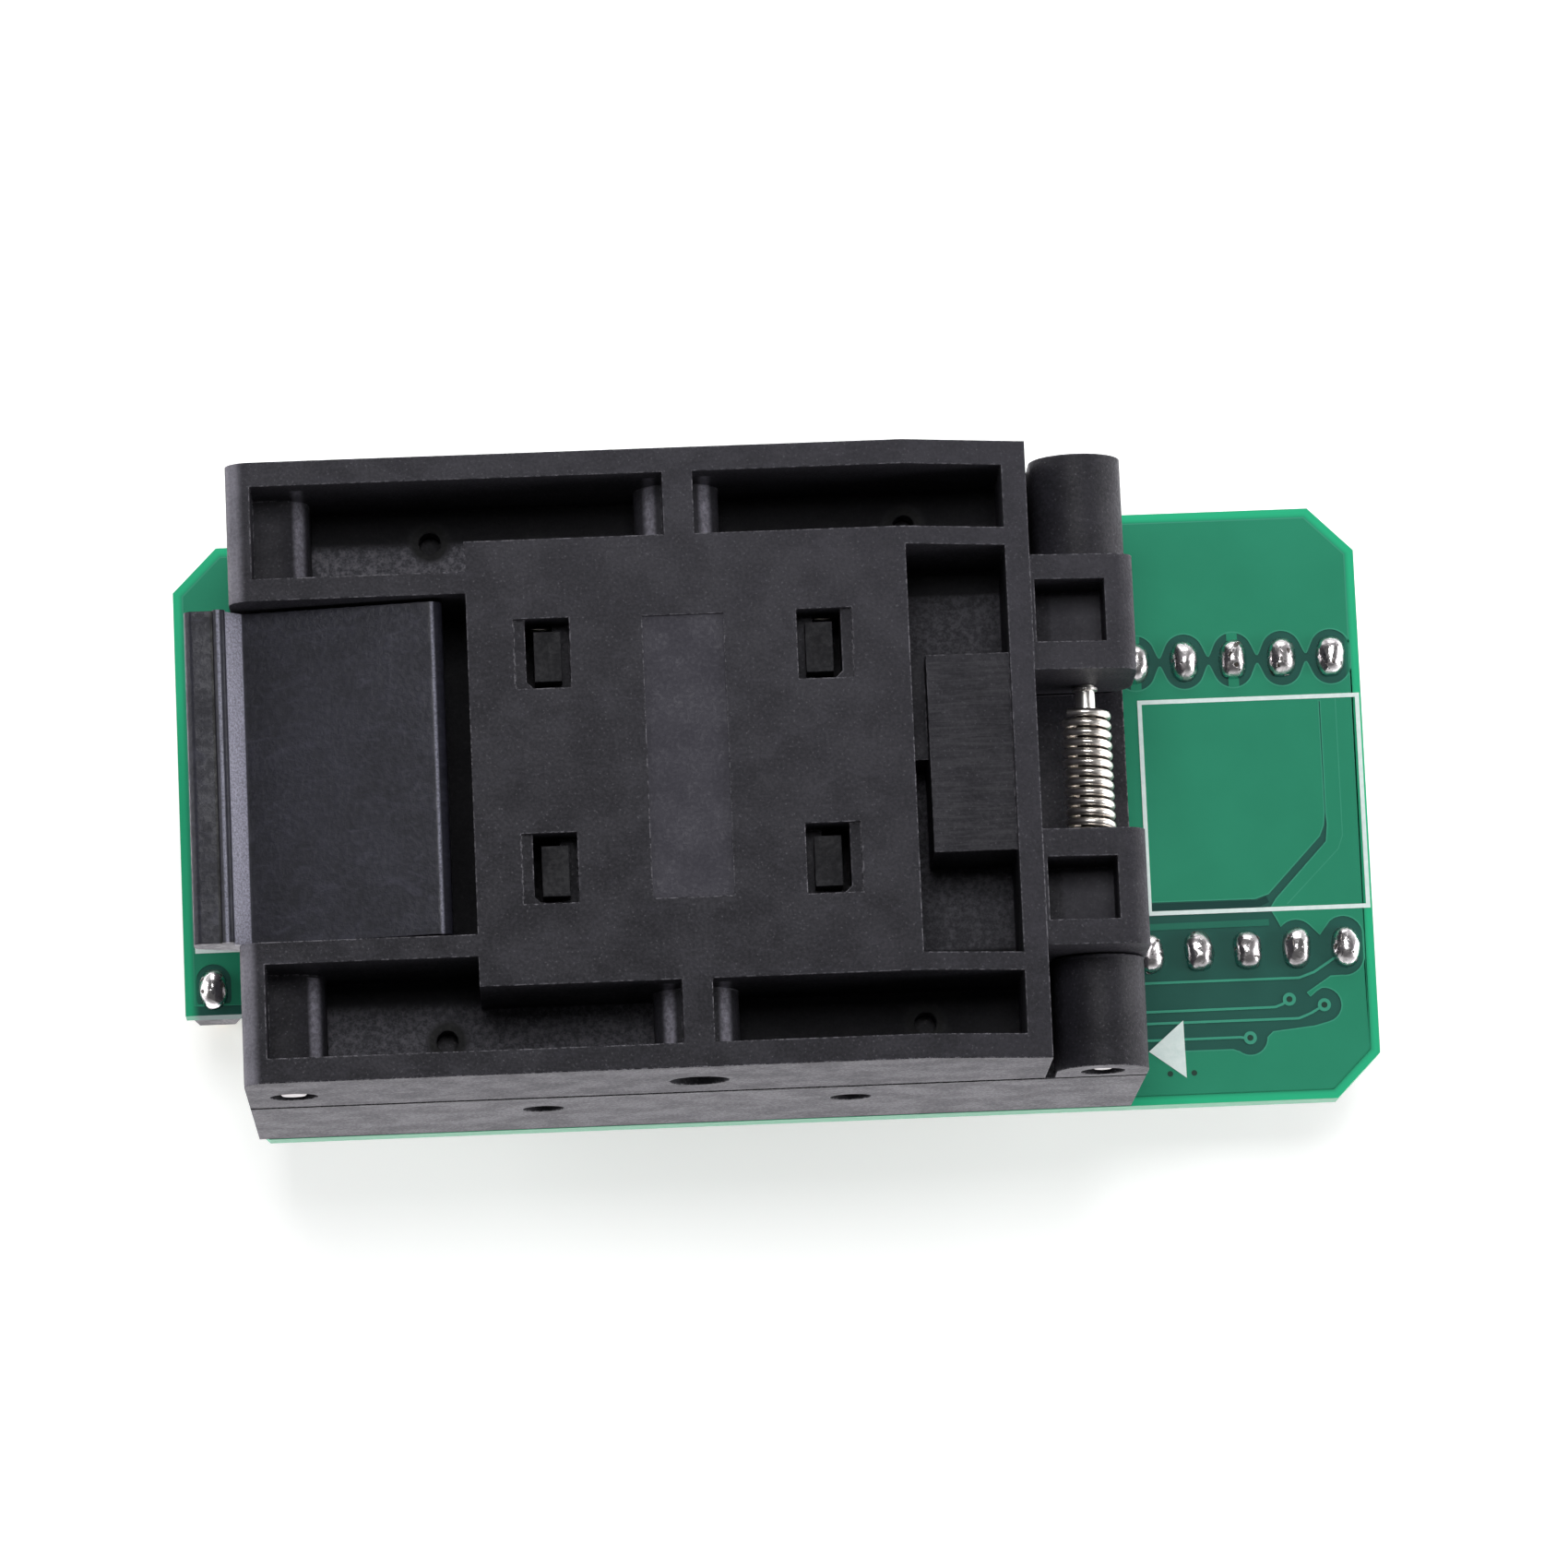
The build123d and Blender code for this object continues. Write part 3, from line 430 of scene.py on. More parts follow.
    # Fine straight tool marks across the rear block
    block = product(
        tree,
        near(tree, x, rear_block_x, 2.3),
        near(tree, y, 0.0, 5.0),
        near(tree, z, lid_top - rear_block_drop, 0.1),
    )
    drawn = put(tree, "ShaderNodeMapping", {"Vector": place, "Scale": (0.45, 6.0, 1.0)}).outputs[0]
    lines = noise(tree, drawn, 1.0, 3.0, 0.7)
    cut = product(tree, block, spread(tree, lines, 0.42, 0.66))
    colour = tint(tree, product(tree, cut, 0.5), colour, rgb(0.05, 0.049, 0.056))

    join(tree, mark_body(tree, shader, place, colour, lid_bottom), shader)
    join(tree, roughness, shader, "Roughness")
    height = calc(tree, "ADD", grain.outputs["Height"], product(tree, floor, pitted, 2.0))
    height = calc(tree, "ADD", height, product(tree, cut, 0.15))
    bump(tree, shader, height, 0.01, rounded)
    return material


def make_base_plastic():
    """The base's plastic, which the contact block shares."""
    made = make_moulded("base_plastic", **charcoal, rough=0.55, depth=0.006, marks=0.2)
    material, tree, shader, place, colour = made[:5]
    join(tree, mark_body(tree, shader, place, colour, base_top), shader)
    return material


lid_plastic = make_lid_plastic()
base_plastic = make_base_plastic()


def make_latch_plastic():
    """The latch's smooth plastic, with painted light on the grainy thumb bevel, painted highlights on the ridge beside
    it and the east edge, and painted shade in the groove.
    """
    material, tree, shader, place, colour, _, grain, rounded = make_moulded(
        "latch_plastic",
        (0.011, 0.011, 0.016),
        (0.020, 0.020, 0.029),
        (0.06, 0.06, 0.08),
        size=0.3,
        flecks=0.12,
        rough=0.42,
        depth=0.005,
        marks=0.35,
    )
    x, _, z = parts_of(tree, place)
    # Painted light on the thumb bevel, speckled; its grain is also a bump
    bevel = product(tree, near(tree, x, latch_bevel[0], 0.44, 0.02), near(tree, z, latch_bevel[1], 0.62))
    speckle = noise(tree, place, 9.0, 4.0, 0.8)
    pale = tint(tree, spread(tree, speckle, 0.38, 0.62), rgb(0.13, 0.128, 0.162), rgb(0.27, 0.265, 0.335))
    colour = tint(tree, bevel, colour, pale)
    # Painted highlight along the ridge
    ridge = product(tree, near(tree, x, latch_ridge[0], 0.08, 0.05), near(tree, z, latch_ridge[1], 0.4))
    ridge = product(tree, ridge, spread(tree, speckle, 0.35, 0.6, 0.35, 0.85))
    colour = tint(tree, ridge, colour, rgb(0.24, 0.24, 0.30))
    # Painted shade in the groove
    groove = product(tree, near(tree, x, latch_groove[0], 0.08, 0.05), near(tree, z, latch_groove[1], 0.4))
    colour = tint(tree, groove, colour, rgb(0.003, 0.003, 0.004))
    # Painted highlight along the round east edge
    edge = product(tree, near(tree, x, latch_edge[0], 0.07, 0.07), near(tree, z, latch_edge[1], 0.5))
    edge = product(tree, edge, spread(tree, speckle, 0.35, 0.6, 0.3, 0.95))
    colour = tint(tree, edge, colour, rgb(0.22, 0.22, 0.28))
    join(tree, colour, shader)
    height = calc(tree, "ADD", grain.outputs["Height"], product(tree, bevel, speckle))
    bump(tree, shader, height, 0.008, rounded)
    return material


latch_plastic = make_latch_plastic()
guide_plastic = make_moulded(
    "guide_plastic",
    (0.008, 0.008, 0.0105),
    (0.014, 0.0138, 0.0175),
    (0.05, 0.05, 0.056),
    size=0.2,
    flecks=0.2,
    rough=0.58,
    depth=0.006,
)[0]
strip_plastic = make_moulded(
    "strip_plastic",
    (0.012, 0.012, 0.013),
    (0.02, 0.02, 0.022),
    (0.06, 0.06, 0.065),
    size=0.25,
    flecks=0.2,
    rough=0.5,
    depth=0.01,
)[0]


# Metals
def make_metal(name, colour, shaded, rough, size, marks, shaded_spans=()):
    """Plain metal with a slight change of tone and fine rub marks, with painted shade over some spans along Y."""
    material, tree, shader, place = start_material(name)
    tone = noise(tree, place, 1.0 / size, 3.0)
    scuff = use_group(tree, scuff_group, {"Place": place, "Size": size, "Amount": marks})
    dull = spread(tree, tone, 0.35, 0.65)
    mixed = tint(tree, dull, rgb(*colour), rgb(*shaded))
    y = parts_of(tree, place)[1]
    for middle, reach, left in shaded_spans:
        # Painted shade over the span
        dim = product(tree, near(tree, y, middle, reach, 0.1), 1.0 - left)
        mixed = tint(tree, dim, mixed, rgb(0.06, 0.052, 0.045))
    join(tree, mixed, shader)
    roughness = calc(tree, "ADD", rough, product(tree, scuff.outputs["Mark"], 0.2))
    join(tree, roughness, shader, "Roughness")
    shader.inputs["Metallic"].default_value = 1.0
    bump(tree, shader, tone, 0.004)
    return material


def make_solder():
    """Bright solder with a few dark flux pits."""
    material, tree, shader, place = start_material("solder")
    tone = noise(tree, place, 1.6, 2.0, distortion=0.8)
    pits = noise(tree, place, 1.9, 1.0)
    pit = spread(tree, pits, 0.68, 0.72)
    colour = tint(tree, spread(tree, tone, 0.35, 0.65), rgb(0.80, 0.77, 0.78), rgb(0.50, 0.47, 0.485))
    join(tree, tint(tree, pit, colour, rgb(0.05, 0.04, 0.035)), shader)
    join(tree, spread(tree, tone, 0.3, 0.7, 0.16, 0.34), shader, "Roughness")
    join(tree, minus(tree, 1.0, pit), shader, "Metallic")
    bump(tree, shader, minus(tree, tone, pit), 0.05)
    return material


solder = make_solder()
spring_steel = make_metal("spring_steel", (0.88, 0.84, 0.79), (0.74, 0.69, 0.64), rough=0.28, size=0.6, marks=0.4)
plated_pins = make_metal("plated_pins", (0.64, 0.49, 0.24), (0.50, 0.36, 0.16), rough=0.3, size=1.0, marks=0.3)
# Spans of painted shade along the pins: their middle, their reach to each side and how much of the tone is left
pin_end_shade = ((15.4, 0.9, 0.3), (-15.4, 0.9, 0.3))
shade_under_spring = (-0.6, 3.2, 0.1)
ground = {"rough": 0.3, "size": 0.8, "marks": 0.5}
pin_steel = make_metal("pin_steel", (0.62, 0.60, 0.585), (0.50, 0.48, 0.455), **ground, shaded_spans=pin_end_shade)
axle_steel = make_metal(
    "axle_steel", (0.84, 0.82, 0.79), (0.70, 0.67, 0.63), **ground, shaded_spans=(shade_under_spring, *pin_end_shade)
)


# Board materials
MASK_IOR = 1.16


def make_board():
    """Green solder mask over bare laminate, with painted light glowing through near the board's cut edges, and lighter
    cut faces.
    """
    material, tree, shader, place = start_material("green_board")
    x, y, _ = parts_of(tree, place)
    beside_x = minus(tree, half_length, absolute(tree, x))
    beside_y = minus(tree, half_width, absolute(tree, y))
    corner = minus(tree, calc(tree, "ADD", beside_x, beside_y), corner_cut)
    beside_corner = product(tree, corner, sqrt(0.5))
    edge = calc(tree, "MINIMUM", calc(tree, "MINIMUM", beside_x, beside_y), beside_corner)
    cloud = noise(tree, place, 0.5, 3.0)
    mask_colour = tint(tree, cloud, rgb(0.010, 0.074, 0.058), rgb(0.014, 0.094, 0.072))
    # Painted light: a bright band near the cut edges, as if light shone up through the laminate
    glow = fade(tree, edge, 0.2, 0.8)
    colour = tint(tree, glow, mask_colour, rgb(0.016, 0.42, 0.205))
    weave = noise(tree, place, 3.0, 4.0)
    cut_colour = tint(tree, weave, rgb(0.10, 0.42, 0.24), rgb(0.20, 0.52, 0.33))
    colour = tint(tree, fade(tree, edge, 0.0, 0.02), colour, cut_colour)
    join(tree, colour, shader)
    shader.inputs["Roughness"].default_value = 0.42
    shader.inputs["IOR"].default_value = MASK_IOR
    bump(tree, shader, noise(tree, place, 6.0, 2.0), 0.004)
    return material


def make_mask(name, low, high, rough):
    """Solder mask over copper."""
    material, tree, shader, place = start_material(name)
    cloud = noise(tree, place, 0.35, 4.0)
    join(tree, tint(tree, cloud, rgb(*low), rgb(*high)), shader)
    shader.inputs["Roughness"].default_value = rough
    shader.inputs["IOR"].default_value = MASK_IOR
    bump(tree, shader, noise(tree, place, 5.0, 2.0), 0.004)
    return material


def make_print():
    """White board print, a little uneven."""
    material, tree, shader, place = start_material("board_print")
    patch = noise(tree, place, 3.5, 3.0)
    join(tree, tint(tree, patch, rgb(0.54, 0.68, 0.65), rgb(0.78, 0.86, 0.84)), shader)
    shader.inputs["Roughness"].default_value = 0.5
    bump(tree, shader, patch, 0.01)
    return material


green_board = make_board()
copper_mask = make_mask("mask_on_copper", (0.012, 0.205, 0.112), (0.018, 0.245, 0.138), 0.42)
trace_mask = make_mask("mask_on_trace", (0.030, 0.260, 0.165), (0.050, 0.305, 0.205), 0.4)
# Mask for the copper's edges, with a painted highlight
rim_mask_with_highlight = make_mask("mask_on_copper_edge", (0.024, 0.250, 0.150), (0.045, 0.305, 0.195), 0.4)
gap_mask = make_mask("mask_in_gap", (0.003, 0.036, 0.032), (0.006, 0.052, 0.044), 0.42)
soiled_mask = make_mask("mask_with_flux", (0.010, 0.120, 0.080), (0.020, 0.170, 0.110), 0.42)
board_print = make_print()
# Painted shade for the open via holes
hole_shade = make_mask("plated_hole", (0.004, 0.030, 0.020), (0.008, 0.045, 0.030), 0.35)


# Helpers for pieces
def keep_piece(piece, body, material=None, replaces=()):
    """Give a finished piece its body, its material and the nodes it stands for."""
    if material is not None:
        piece.data.materials.clear()
        piece.data.materials.append(material)
    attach(piece, body)
    if replaces:
        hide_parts(*replaces)
    return piece


def new_piece(name, data):
    piece = bpy.data.objects.new(name, data)
    bpy.context.scene.collection.objects.link(piece)
    return piece


def finished(form, name):
    """Turn a form into a mesh and let go of the form."""
    mesh = bpy.data.meshes.new(name)
    form.to_mesh(mesh)
    form.free()
    return mesh


def merged(source, name, gap, outward=True):
    """Copy a mesh with its doubled points joined."""
    form = bmesh.new()
    form.from_mesh(source)
    bmesh.ops.remove_doubles(form, verts=form.verts, dist=gap * MM)
    if outward:
        bmesh.ops.recalc_face_normals(form, faces=form.faces)
    return finished(form, name)


def plain_mesh(holder):
    """Give what a holder evaluates to as a plain mesh, and remove the holder."""
    seen = holder.evaluated_get(bpy.context.evaluated_depsgraph_get())
    mesh = bpy.data.meshes.new_from_object(seen)
    holder.modifiers.clear()
    bpy.data.objects.remove(holder)
    return mesh


def smooth_all(mesh):
    mesh.polygons.foreach_set("use_smooth", [True] * len(mesh.polygons))


def moulding(node, name, body, material):
    """Copy a moulded node with its round walls smooth and its corners crisp."""
    mesh = merged(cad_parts[node].data, name, 0.002, outward=False)
    if "custom_normal" in mesh.attributes:
        mesh.attributes.remove(mesh.attributes["custom_normal"])
    smooth_all(mesh)
    mesh.set_sharp_from_angle(angle=radians(28))
    return keep_piece(new_piece(name, mesh), body, material, (node,))


# Moulded bodies
moulding("lid", "lid_moulding", "lid", lid_plastic)
moulding("socket_base", "base_moulding", "base", base_plastic)
moulding("latch", "latch_moulding", "latch", latch_plastic)
moulding("pressure_plate", "pressure_plate_moulding", "pressure_plate", guide_plastic)
moulding("nest", "nest_frame", "nest", guide_plastic)
moulding("contact_block", "contact_block_moulding", "base", base_plastic)
moulding("guide_plate", "contact_guide", "base", guide_plastic)

board_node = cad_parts["circuit_board"]
board_node.data.materials.clear()
board_node.data.materials.append(green_board)


# Flat layers on the board, cut from outlines
def flat_layer(name, outlines, thickness, material, low=board_top):
    """Fill closed outlines, with inner ones as holes, and give the layer its thickness."""
    curve = bpy.data.curves.new(name, "CURVE")
    curve.dimensions = "2D"
    curve.fill_mode = "BOTH"
    curve.extrude = thickness * MM / 2
    for outline in outlines:
        line = curve.splines.new("POLY")
        line.points.add(len(outline) - 1)
        for point, (x, y) in zip(line.points, outline):
            point.co = (x * MM, y * MM, 0.0, 1.0)
        line.use_cyclic_u = True
    filled = plain_mesh(new_piece(name + "_outline", curve))
    filled.transform(Matrix.Translation((0, 0, (low + thickness / 2) * MM)))
    return keep_piece(new_piece(name, merged(filled, name, 0.001)), "base", material)


def arc(x, y, radius, start, end, steps=14):
    """Points on an arc, angles in degrees, either way round."""
    return [
        (
            x + radius * cos(radians(start + (end - start) * step / steps)),
            y + radius * sin(radians(start + (end - start) * step / steps)),
        )
        for step in range(steps + 1)
    ]


def ribbon(path, width):
    """Outline of a strip of even width along a path."""
    left, right = [], []
    for index, (x, y) in enumerate(path):
        before = Vector(path[max(index - 1, 0)])
        after = Vector(path[min(index + 1, len(path) - 1)])
        here = Vector((x, y))
        into = (here - before).normalized() if index else (after - here).normalized()
        out = (after - here).normalized() if index < len(path) - 1 else into
        middle = (into + out).normalized()
        side = Vector((-middle.y, middle.x)) * width / 2 / max(middle.dot(into), 0.3)
        left.append(tuple(here + side))
        right.append(tuple(here - side))
    return left + right[::-1]


moat_half = 1.05
moat_rise = 0.42
neck_half = 0.24
neck_angle = 22


def joint_x(number):
    return (number - (pins_per_row + 1) / 2) * pin_pitch


def moat(x, y, half=moat_half):
    """Bare oval round one joint."""
    return arc(x, y + moat_rise, half, 0, 180) + arc(x, y - moat_rise, half, 180, 360)


def moat_chain(first, last, y):
    """Bare ovals joined along a row by necks that narrow to the middle."""
    over, under = [], []
    for number in range(first, last + 1):
        x = joint_x(number)
        start = 180 if number == first else 180 - neck_angle
        end = 0 if number == last else neck_angle
        over += arc(x, y + moat_rise, moat_half, start, end)
        under += arc(x, y - moat_rise, moat_half, -start, -end)
        if number < last:
            for step, half in ((-0.1, 0.36), (-0.03, neck_half), (0.03, neck_half), (0.1, 0.36)):
                over.append((x + pin_pitch / 2 + step, y + half))
                under.append((x + pin_pitch / 2 + step, y - half))
    return over + under[::-1]


# Copper with its bare areas. What leads west starts under the socket
trace_start = 15.6
pour_inset = 0.5
pour_x = half_length - pour_inset
pour_y = half_width - pour_inset
pour_corner = corner_cut - pour_inset * (2 - sqrt(2))
east_corners = [
    (pour_x - pour_corner, pour_y),
    (pour_x, pour_y - pour_corner),
    (pour_x, -pour_y + pour_corner),
    (pour_x - pour_corner, -pour_y),
]
north_west_corner = [(-pour_x, pour_y - pour_corner), (-pour_x + pour_corner, pour_y)]
east_pour_start = 15.0
east_pour_outline = [(east_pour_start, pour_y), *east_corners, (east_pour_start, -pour_y)]
east_moats = moat_chain(19, 24, row_y)
south_gap = (
    [(trace_start, -4.92), (24.65, -4.95), (25.35, -4.72), (28.15, -1.8), (28.38, -1.25), (28.46, -0.6), (28.46, 5.3)]
    + [(28.56, 5.3), (28.56, -0.6), (28.6, -1.2), (28.5, -2.1), (25.75, -5.0), (25.42, -5.5), (25.8, -6.2)]
    + arc(26.67, -7.1, 1.0, 140, 40, 8)
    + [(27.9, -6.95)]
    + arc(29.1, -7.05, 1.05, 130, 10, 8)
    + arc(29.1, -8.1, 1.05, -10, -100, 8)
    + [(28.35, -9.15), (27.1, -9.95), (27.25, -10.15), (27.6, -9.85)]
    + arc(27.94, -10.63, 0.92, 95, -75, 12)
    + [(27.4, -11.72), (25.25, -11.93)]
    + arc(24.03, -12.2, 0.92, 0, -130, 12)
    + [(23.1, -12.78), (trace_start, -12.75)]
)
flat_layer("copper_east", [east_pour_outline, east_moats, south_gap], pour_rise, copper_mask)

# Spokes that tie two joints of the north row to the copper
spoke_start, spoke_end, spoke_width = 0.75, 1.7, 0.55
spokes = [
    ribbon([(joint_x(number), row_y + side * out) for out in (spoke_start, spoke_end)], spoke_width)
    for number in (20, 22)
    for side in (-1, 1)
]
flat_layer("joint_spokes", spokes, pour_rise + 0.002, copper_mask)

notch_y = -8.95
west_pour_end = -25.0
west_pour_south = notch_y + pour_inset
west_pour_outline = [
    (west_pour_end, pour_y),
    *north_west_corner[::-1],
    (-pour_x, west_pour_south),
    (west_pour_end, west_pour_south),
]
west_moat = [(x, max(y, west_pour_south + 0.09)) for x, y in moat(joint_x(1), -row_y, 0.9)]
flat_layer("copper_west", [west_pour_outline, moat(joint_x(1), row_y), west_moat], pour_rise, copper_mask)
under_x, under_y = -26.4, -8.4
under_outline = [(under_x, -pour_y), (under_x, under_y), (-pour_x, under_y), *north_west_corner, *east_corners]
flat_layer("copper_under", [under_outline], pour_rise, copper_mask, board_under - pour_rise)

# Traces in the bare areas
trace_width = 0.13
trace_paths = [
    [(trace_start, -9.17), (26.7, -9.17), (27.5, -8.9), (28.6, -8.2)],
    [(trace_start, -10.68), (25.4, -10.65), (25.8, -10.5), (26.0, -10.35)],
    [(trace_start, -11.28), (26.6, -11.28), (27.2, -11.05), (27.75, -10.75)],
    [(trace_start, -12.15), (23.5, -12.15), (23.85, -12.2)],
]
wide_trace = ribbon([(trace_start, -6.25), (19.5, -6.25), (25.3, -6.22)], 0.34)
gap = ribbon([(trace_start, -5.2), (24.8, -5.22), (25.3, -5.0)], 0.36)
flat_layer("board_traces", [ribbon(path, trace_width) for path in trace_paths], trace_rise, trace_mask)
flat_layer("board_wide_traces", [wide_trace], pour_rise, soiled_mask)
flat_layer("board_gap", [gap], gap_rise, gap_mask)


# Pale rims where the mask steps down over the copper's edges: a painted highlight along the step
def closed_ribbon(outline, width):
    """Outline pair of a thin strip that follows a closed outline."""
    count = len(outline)
    inner, outer = [], []
    for index in range(count):
        before = Vector(outline[index - 1])
        here = Vector(outline[index])
        after = Vector(outline[(index + 1) % count])
        way = ((here - before).normalized() + (after - here).normalized()).normalized()
        side = Vector((-way.y, way.x)) * width / 2
        inner.append(tuple(here + side))
        outer.append(tuple(here - side))
    return inner, outer


rim_outlines = [ribbon([(26.3, -5.3), (29.1, -2.5), (29.35, -1.8), (29.35, 5.4)], 0.05)]
for outline in (east_moats, south_gap, east_pour_outline, west_pour_outline):
    rim_outlines += closed_ribbon(outline, 0.07)
flat_layer("copper_rims", rim_outlines, pour_rise + 0.004, rim_mask_with_highlight)


def rectangle(west, south, east, north):
    return [(west, south), (east, south), (east, north), (west, north)]


# White print: the box outline on the east end, the pin mark and the west outline
box_west, box_east, box_half, print_line = 19.06, 30.6, 5.65, 0.22
inner_half = box_half - print_line
print_outlines = [
    rectangle(box_west, -box_half, box_east, box_half),
    rectangle(box_west + print_line, -inner_half, box_east - print_line, inner_half),
    [(18.77, -12.72), (20.65, -14.14), (20.61, -11.16)],
    [(-30.1, -5.72), (-26.8, -5.72), (-26.8, -5.5), (-29.88, -5.5), (-29.88, 6.0), (-30.1, 6.0)],
]
flat_layer("board_print_lines", print_outlines, print_rise, board_print)


# Geometry Nodes trees for what repeats
def geometry_tree(name, inputs):
    """Start a tree with its named inputs and a geometry output."""
    tree = bpy.data.node_groups.new(name, "GeometryNodeTree")
    tree.interface.new_socket("Places", in_out="INPUT", socket_type="NodeSocketGeometry")
    for label, kind, value in inputs:
        socket = tree.interface.new_socket(label, in_out="INPUT", socket_type=kind)
        if value is not None:
            socket.default_value = value
    tree.interface.new_socket("Result", in_out="OUTPUT", socket_type="NodeSocketGeometry")
    return tree, tree.nodes.new("NodeGroupInput"), tree.nodes.new("NodeGroupOutput")


def make_stamp_tree():
    """Set one shape at every place, each a little different, and finish it as one mesh."""
    tree, start, end = geometry_tree(
        "stamped_row",
        [
            ("Shape", "NodeSocketObject", None),
            ("Unevenness", FLOAT, 0.0),
            ("Uneven Size", FLOAT, 1.0),
            ("Turn", FLOAT, 0.0),
            ("Seed", "NodeSocketInt", 7),
            ("Finish", "NodeSocketMaterial", None),
        ],
    )
    shape = put(tree, "GeometryNodeObjectInfo", {"Object": start.outputs["Shape"]})
    least = product(tree, start.outputs["Turn"], -1.0)
    limits = {"Min": least, "Max": start.outputs["Turn"], "Seed": start.outputs["Seed"]}
    turn = put(tree, "FunctionNodeRandomValue", limits, data_type="FLOAT")
    angle = put(tree, "ShaderNodeCombineXYZ", {"Z": turn.outputs[1]})
    rows = put(
        tree,
        "GeometryNodeInstanceOnPoints",
        {"Points": start.outputs["Places"], "Instance": shape.outputs["Geometry"], "Rotation": angle.outputs[0]},
    )
    real = put(tree, "GeometryNodeRealizeInstances", {0: rows.outputs[0]})
    place = put(tree, "GeometryNodeInputPosition")
    values = {"Vector": place.outputs[0], "W": start.outputs["Seed"], "Scale": start.outputs["Uneven Size"]}
    uneven = put(tree, "ShaderNodeTexNoise", {**values, "Detail": 1.0}, noise_dimensions="4D").outputs["Color"]
    centred = put(tree, "ShaderNodeVectorMath", {0: uneven, 1: (0.5, 0.5, 0.5)}, operation="SUBTRACT").outputs[0]
    values = {0: centred, "Scale": start.outputs["Unevenness"]}
    push = put(tree, "ShaderNodeVectorMath", values, operation="SCALE")
    moved = put(tree, "GeometryNodeSetPosition", {"Geometry": real.outputs[0], "Offset": push.outputs[0]})
    done = put(tree, "GeometryNodeSetMaterial", {"Geometry": moved.outputs[0], "Material": start.outputs["Finish"]})
    tree.links.new(done.outputs[0], end.inputs["Result"])
    return tree


def make_coil_tree():
    """Wind one round-wire coil, closed at both ends, at every place."""
    tree, start, end = geometry_tree(
        "wound_coils",
        [
            ("Turns", FLOAT, 4.0),
            ("Radius", FLOAT, 0.001),
            ("Length", FLOAT, 0.004),
            ("Wire", FLOAT, 0.0002),
            ("Finish", "NodeSocketMaterial", None),
        ],
    )
    spiral = put(
        tree,
        "GeometryNodeCurveSpiral",
        {
            "Resolution": 24,
            "Rotations": start.outputs["Turns"],
            "Start Radius": start.outputs["Radius"],
            "End Radius": start.outputs["Radius"],
            "Height": start.outputs["Length"],
        },
    )
    section = put(tree, "GeometryNodeCurvePrimitiveCircle", {"Resolution": 10, "Radius": start.outputs["Wire"]})
    wire = put(
        tree,
        "GeometryNodeCurveToMesh",
        {"Curve": spiral.outputs[0], "Profile Curve": section.outputs[0], "Fill Caps": True},
    )
    rows = put(tree, "GeometryNodeInstanceOnPoints", {"Points": start.outputs["Places"], "Instance": wire.outputs[0]})
    real = put(tree, "GeometryNodeRealizeInstances", {0: rows.outputs[0]})
    smooth = put(tree, "GeometryNodeSetShadeSmooth", {0: real.outputs[0]})
    done = put(tree, "GeometryNodeSetMaterial", {"Geometry": smooth.outputs[0], "Material": start.outputs["Finish"]})
    tree.links.new(done.outputs[0], end.inputs["Result"])
    return tree


def grow(name, tree, places, values, body, replaces=()):
    """Run a tree on a set of places and keep its result as a plain mesh."""
    points = bpy.data.meshes.new(name + "_places")
    points.from_pydata([(x * MM, y * MM, z * MM) for x, y, z in places], [], [])
    holder = new_piece(name + "_holder", points)
    grower = holder.modifiers.new(name, "NODES")
    grower.node_group = tree
    for item in tree.interface.items_tree:
        if item.in_out == "INPUT" and item.name in values:
            grower[item.identifier] = values[item.name]
    return keep_piece(new_piece(name, plain_mesh(holder)), body, None, replaces)


stamp_tree = make_stamp_tree()
coil_tree = make_coil_tree()


def even(value, power):
    """Raise a signed value to a power and keep its sign."""
    return abs(value) ** power * (1 if value > 0 else -1)


def skinned(name, rings):
    """Join rings of points, from the lowest up, into one mesh that is closed at both ends."""
    form = bmesh.new()
    loops = [[form.verts.new([value * MM for value in point]) for point in ring] for ring in rings]
    for low, high in zip(loops, loops[1:]):
        for step in range(len(low)):
            after = (step + 1) % len(low)
            form.faces.new((low[step], low[after], high[after], high[step]))
    form.faces.new(loops[0][::-1])
    form.faces.new(loops[-1])
    bmesh.ops.recalc_face_normals(form, faces=form.faces)
    return finished(form, name)


def turned(name, profile, steps=20, squash=(1.0, 1.0), smooth=True, power=1.0):
    """Turn a profile of (radius, height) pairs about Z, closed at both ends.
    A power below 1 makes the section squarer than an oval."""
    ways = [(cos(2 * pi * step / steps), sin(2 * pi * step / steps)) for step in range(steps)]
    section = [(squash[0] * even(x, power), squash[1] * even(y, power)) for x, y in ways]
    mesh = skinned(name, [[(radius * x, radius * y, height) for x, y in section] for radius, height in profile])
    if smooth:
        smooth_all(mesh)
    return mesh


# Solder joints: oval mounds drawn up round the pin ends
mound_profile = [(0.49, -0.03), (0.5, 0.05), (0.495, 0.14), (0.475, 0.28), (0.44, 0.42), (0.385, 0.55)]
mound_profile += [(0.31, 0.66), (0.22, 0.74), (0.13, 0.79), (0.04, joint_height)]
mound = new_piece("mound_shape", turned("mound_shape", mound_profile, 24, (joint_width, joint_length), power=0.8))
pin_numbers = range(1, pins_per_row + 1)
grow(
    "solder_mounds",
    stamp_tree,
    [(joint_x(number), side * row_y, board_top) for side in (-1, 1) for number in pin_numbers],
    {"Shape": mound, "Unevenness": 0.26 * MM, "Uneven Size": 1100.0, "Turn": 0.06, "Seed": 11, "Finish": solder},
    "base",
    ("solder_joints",),
)


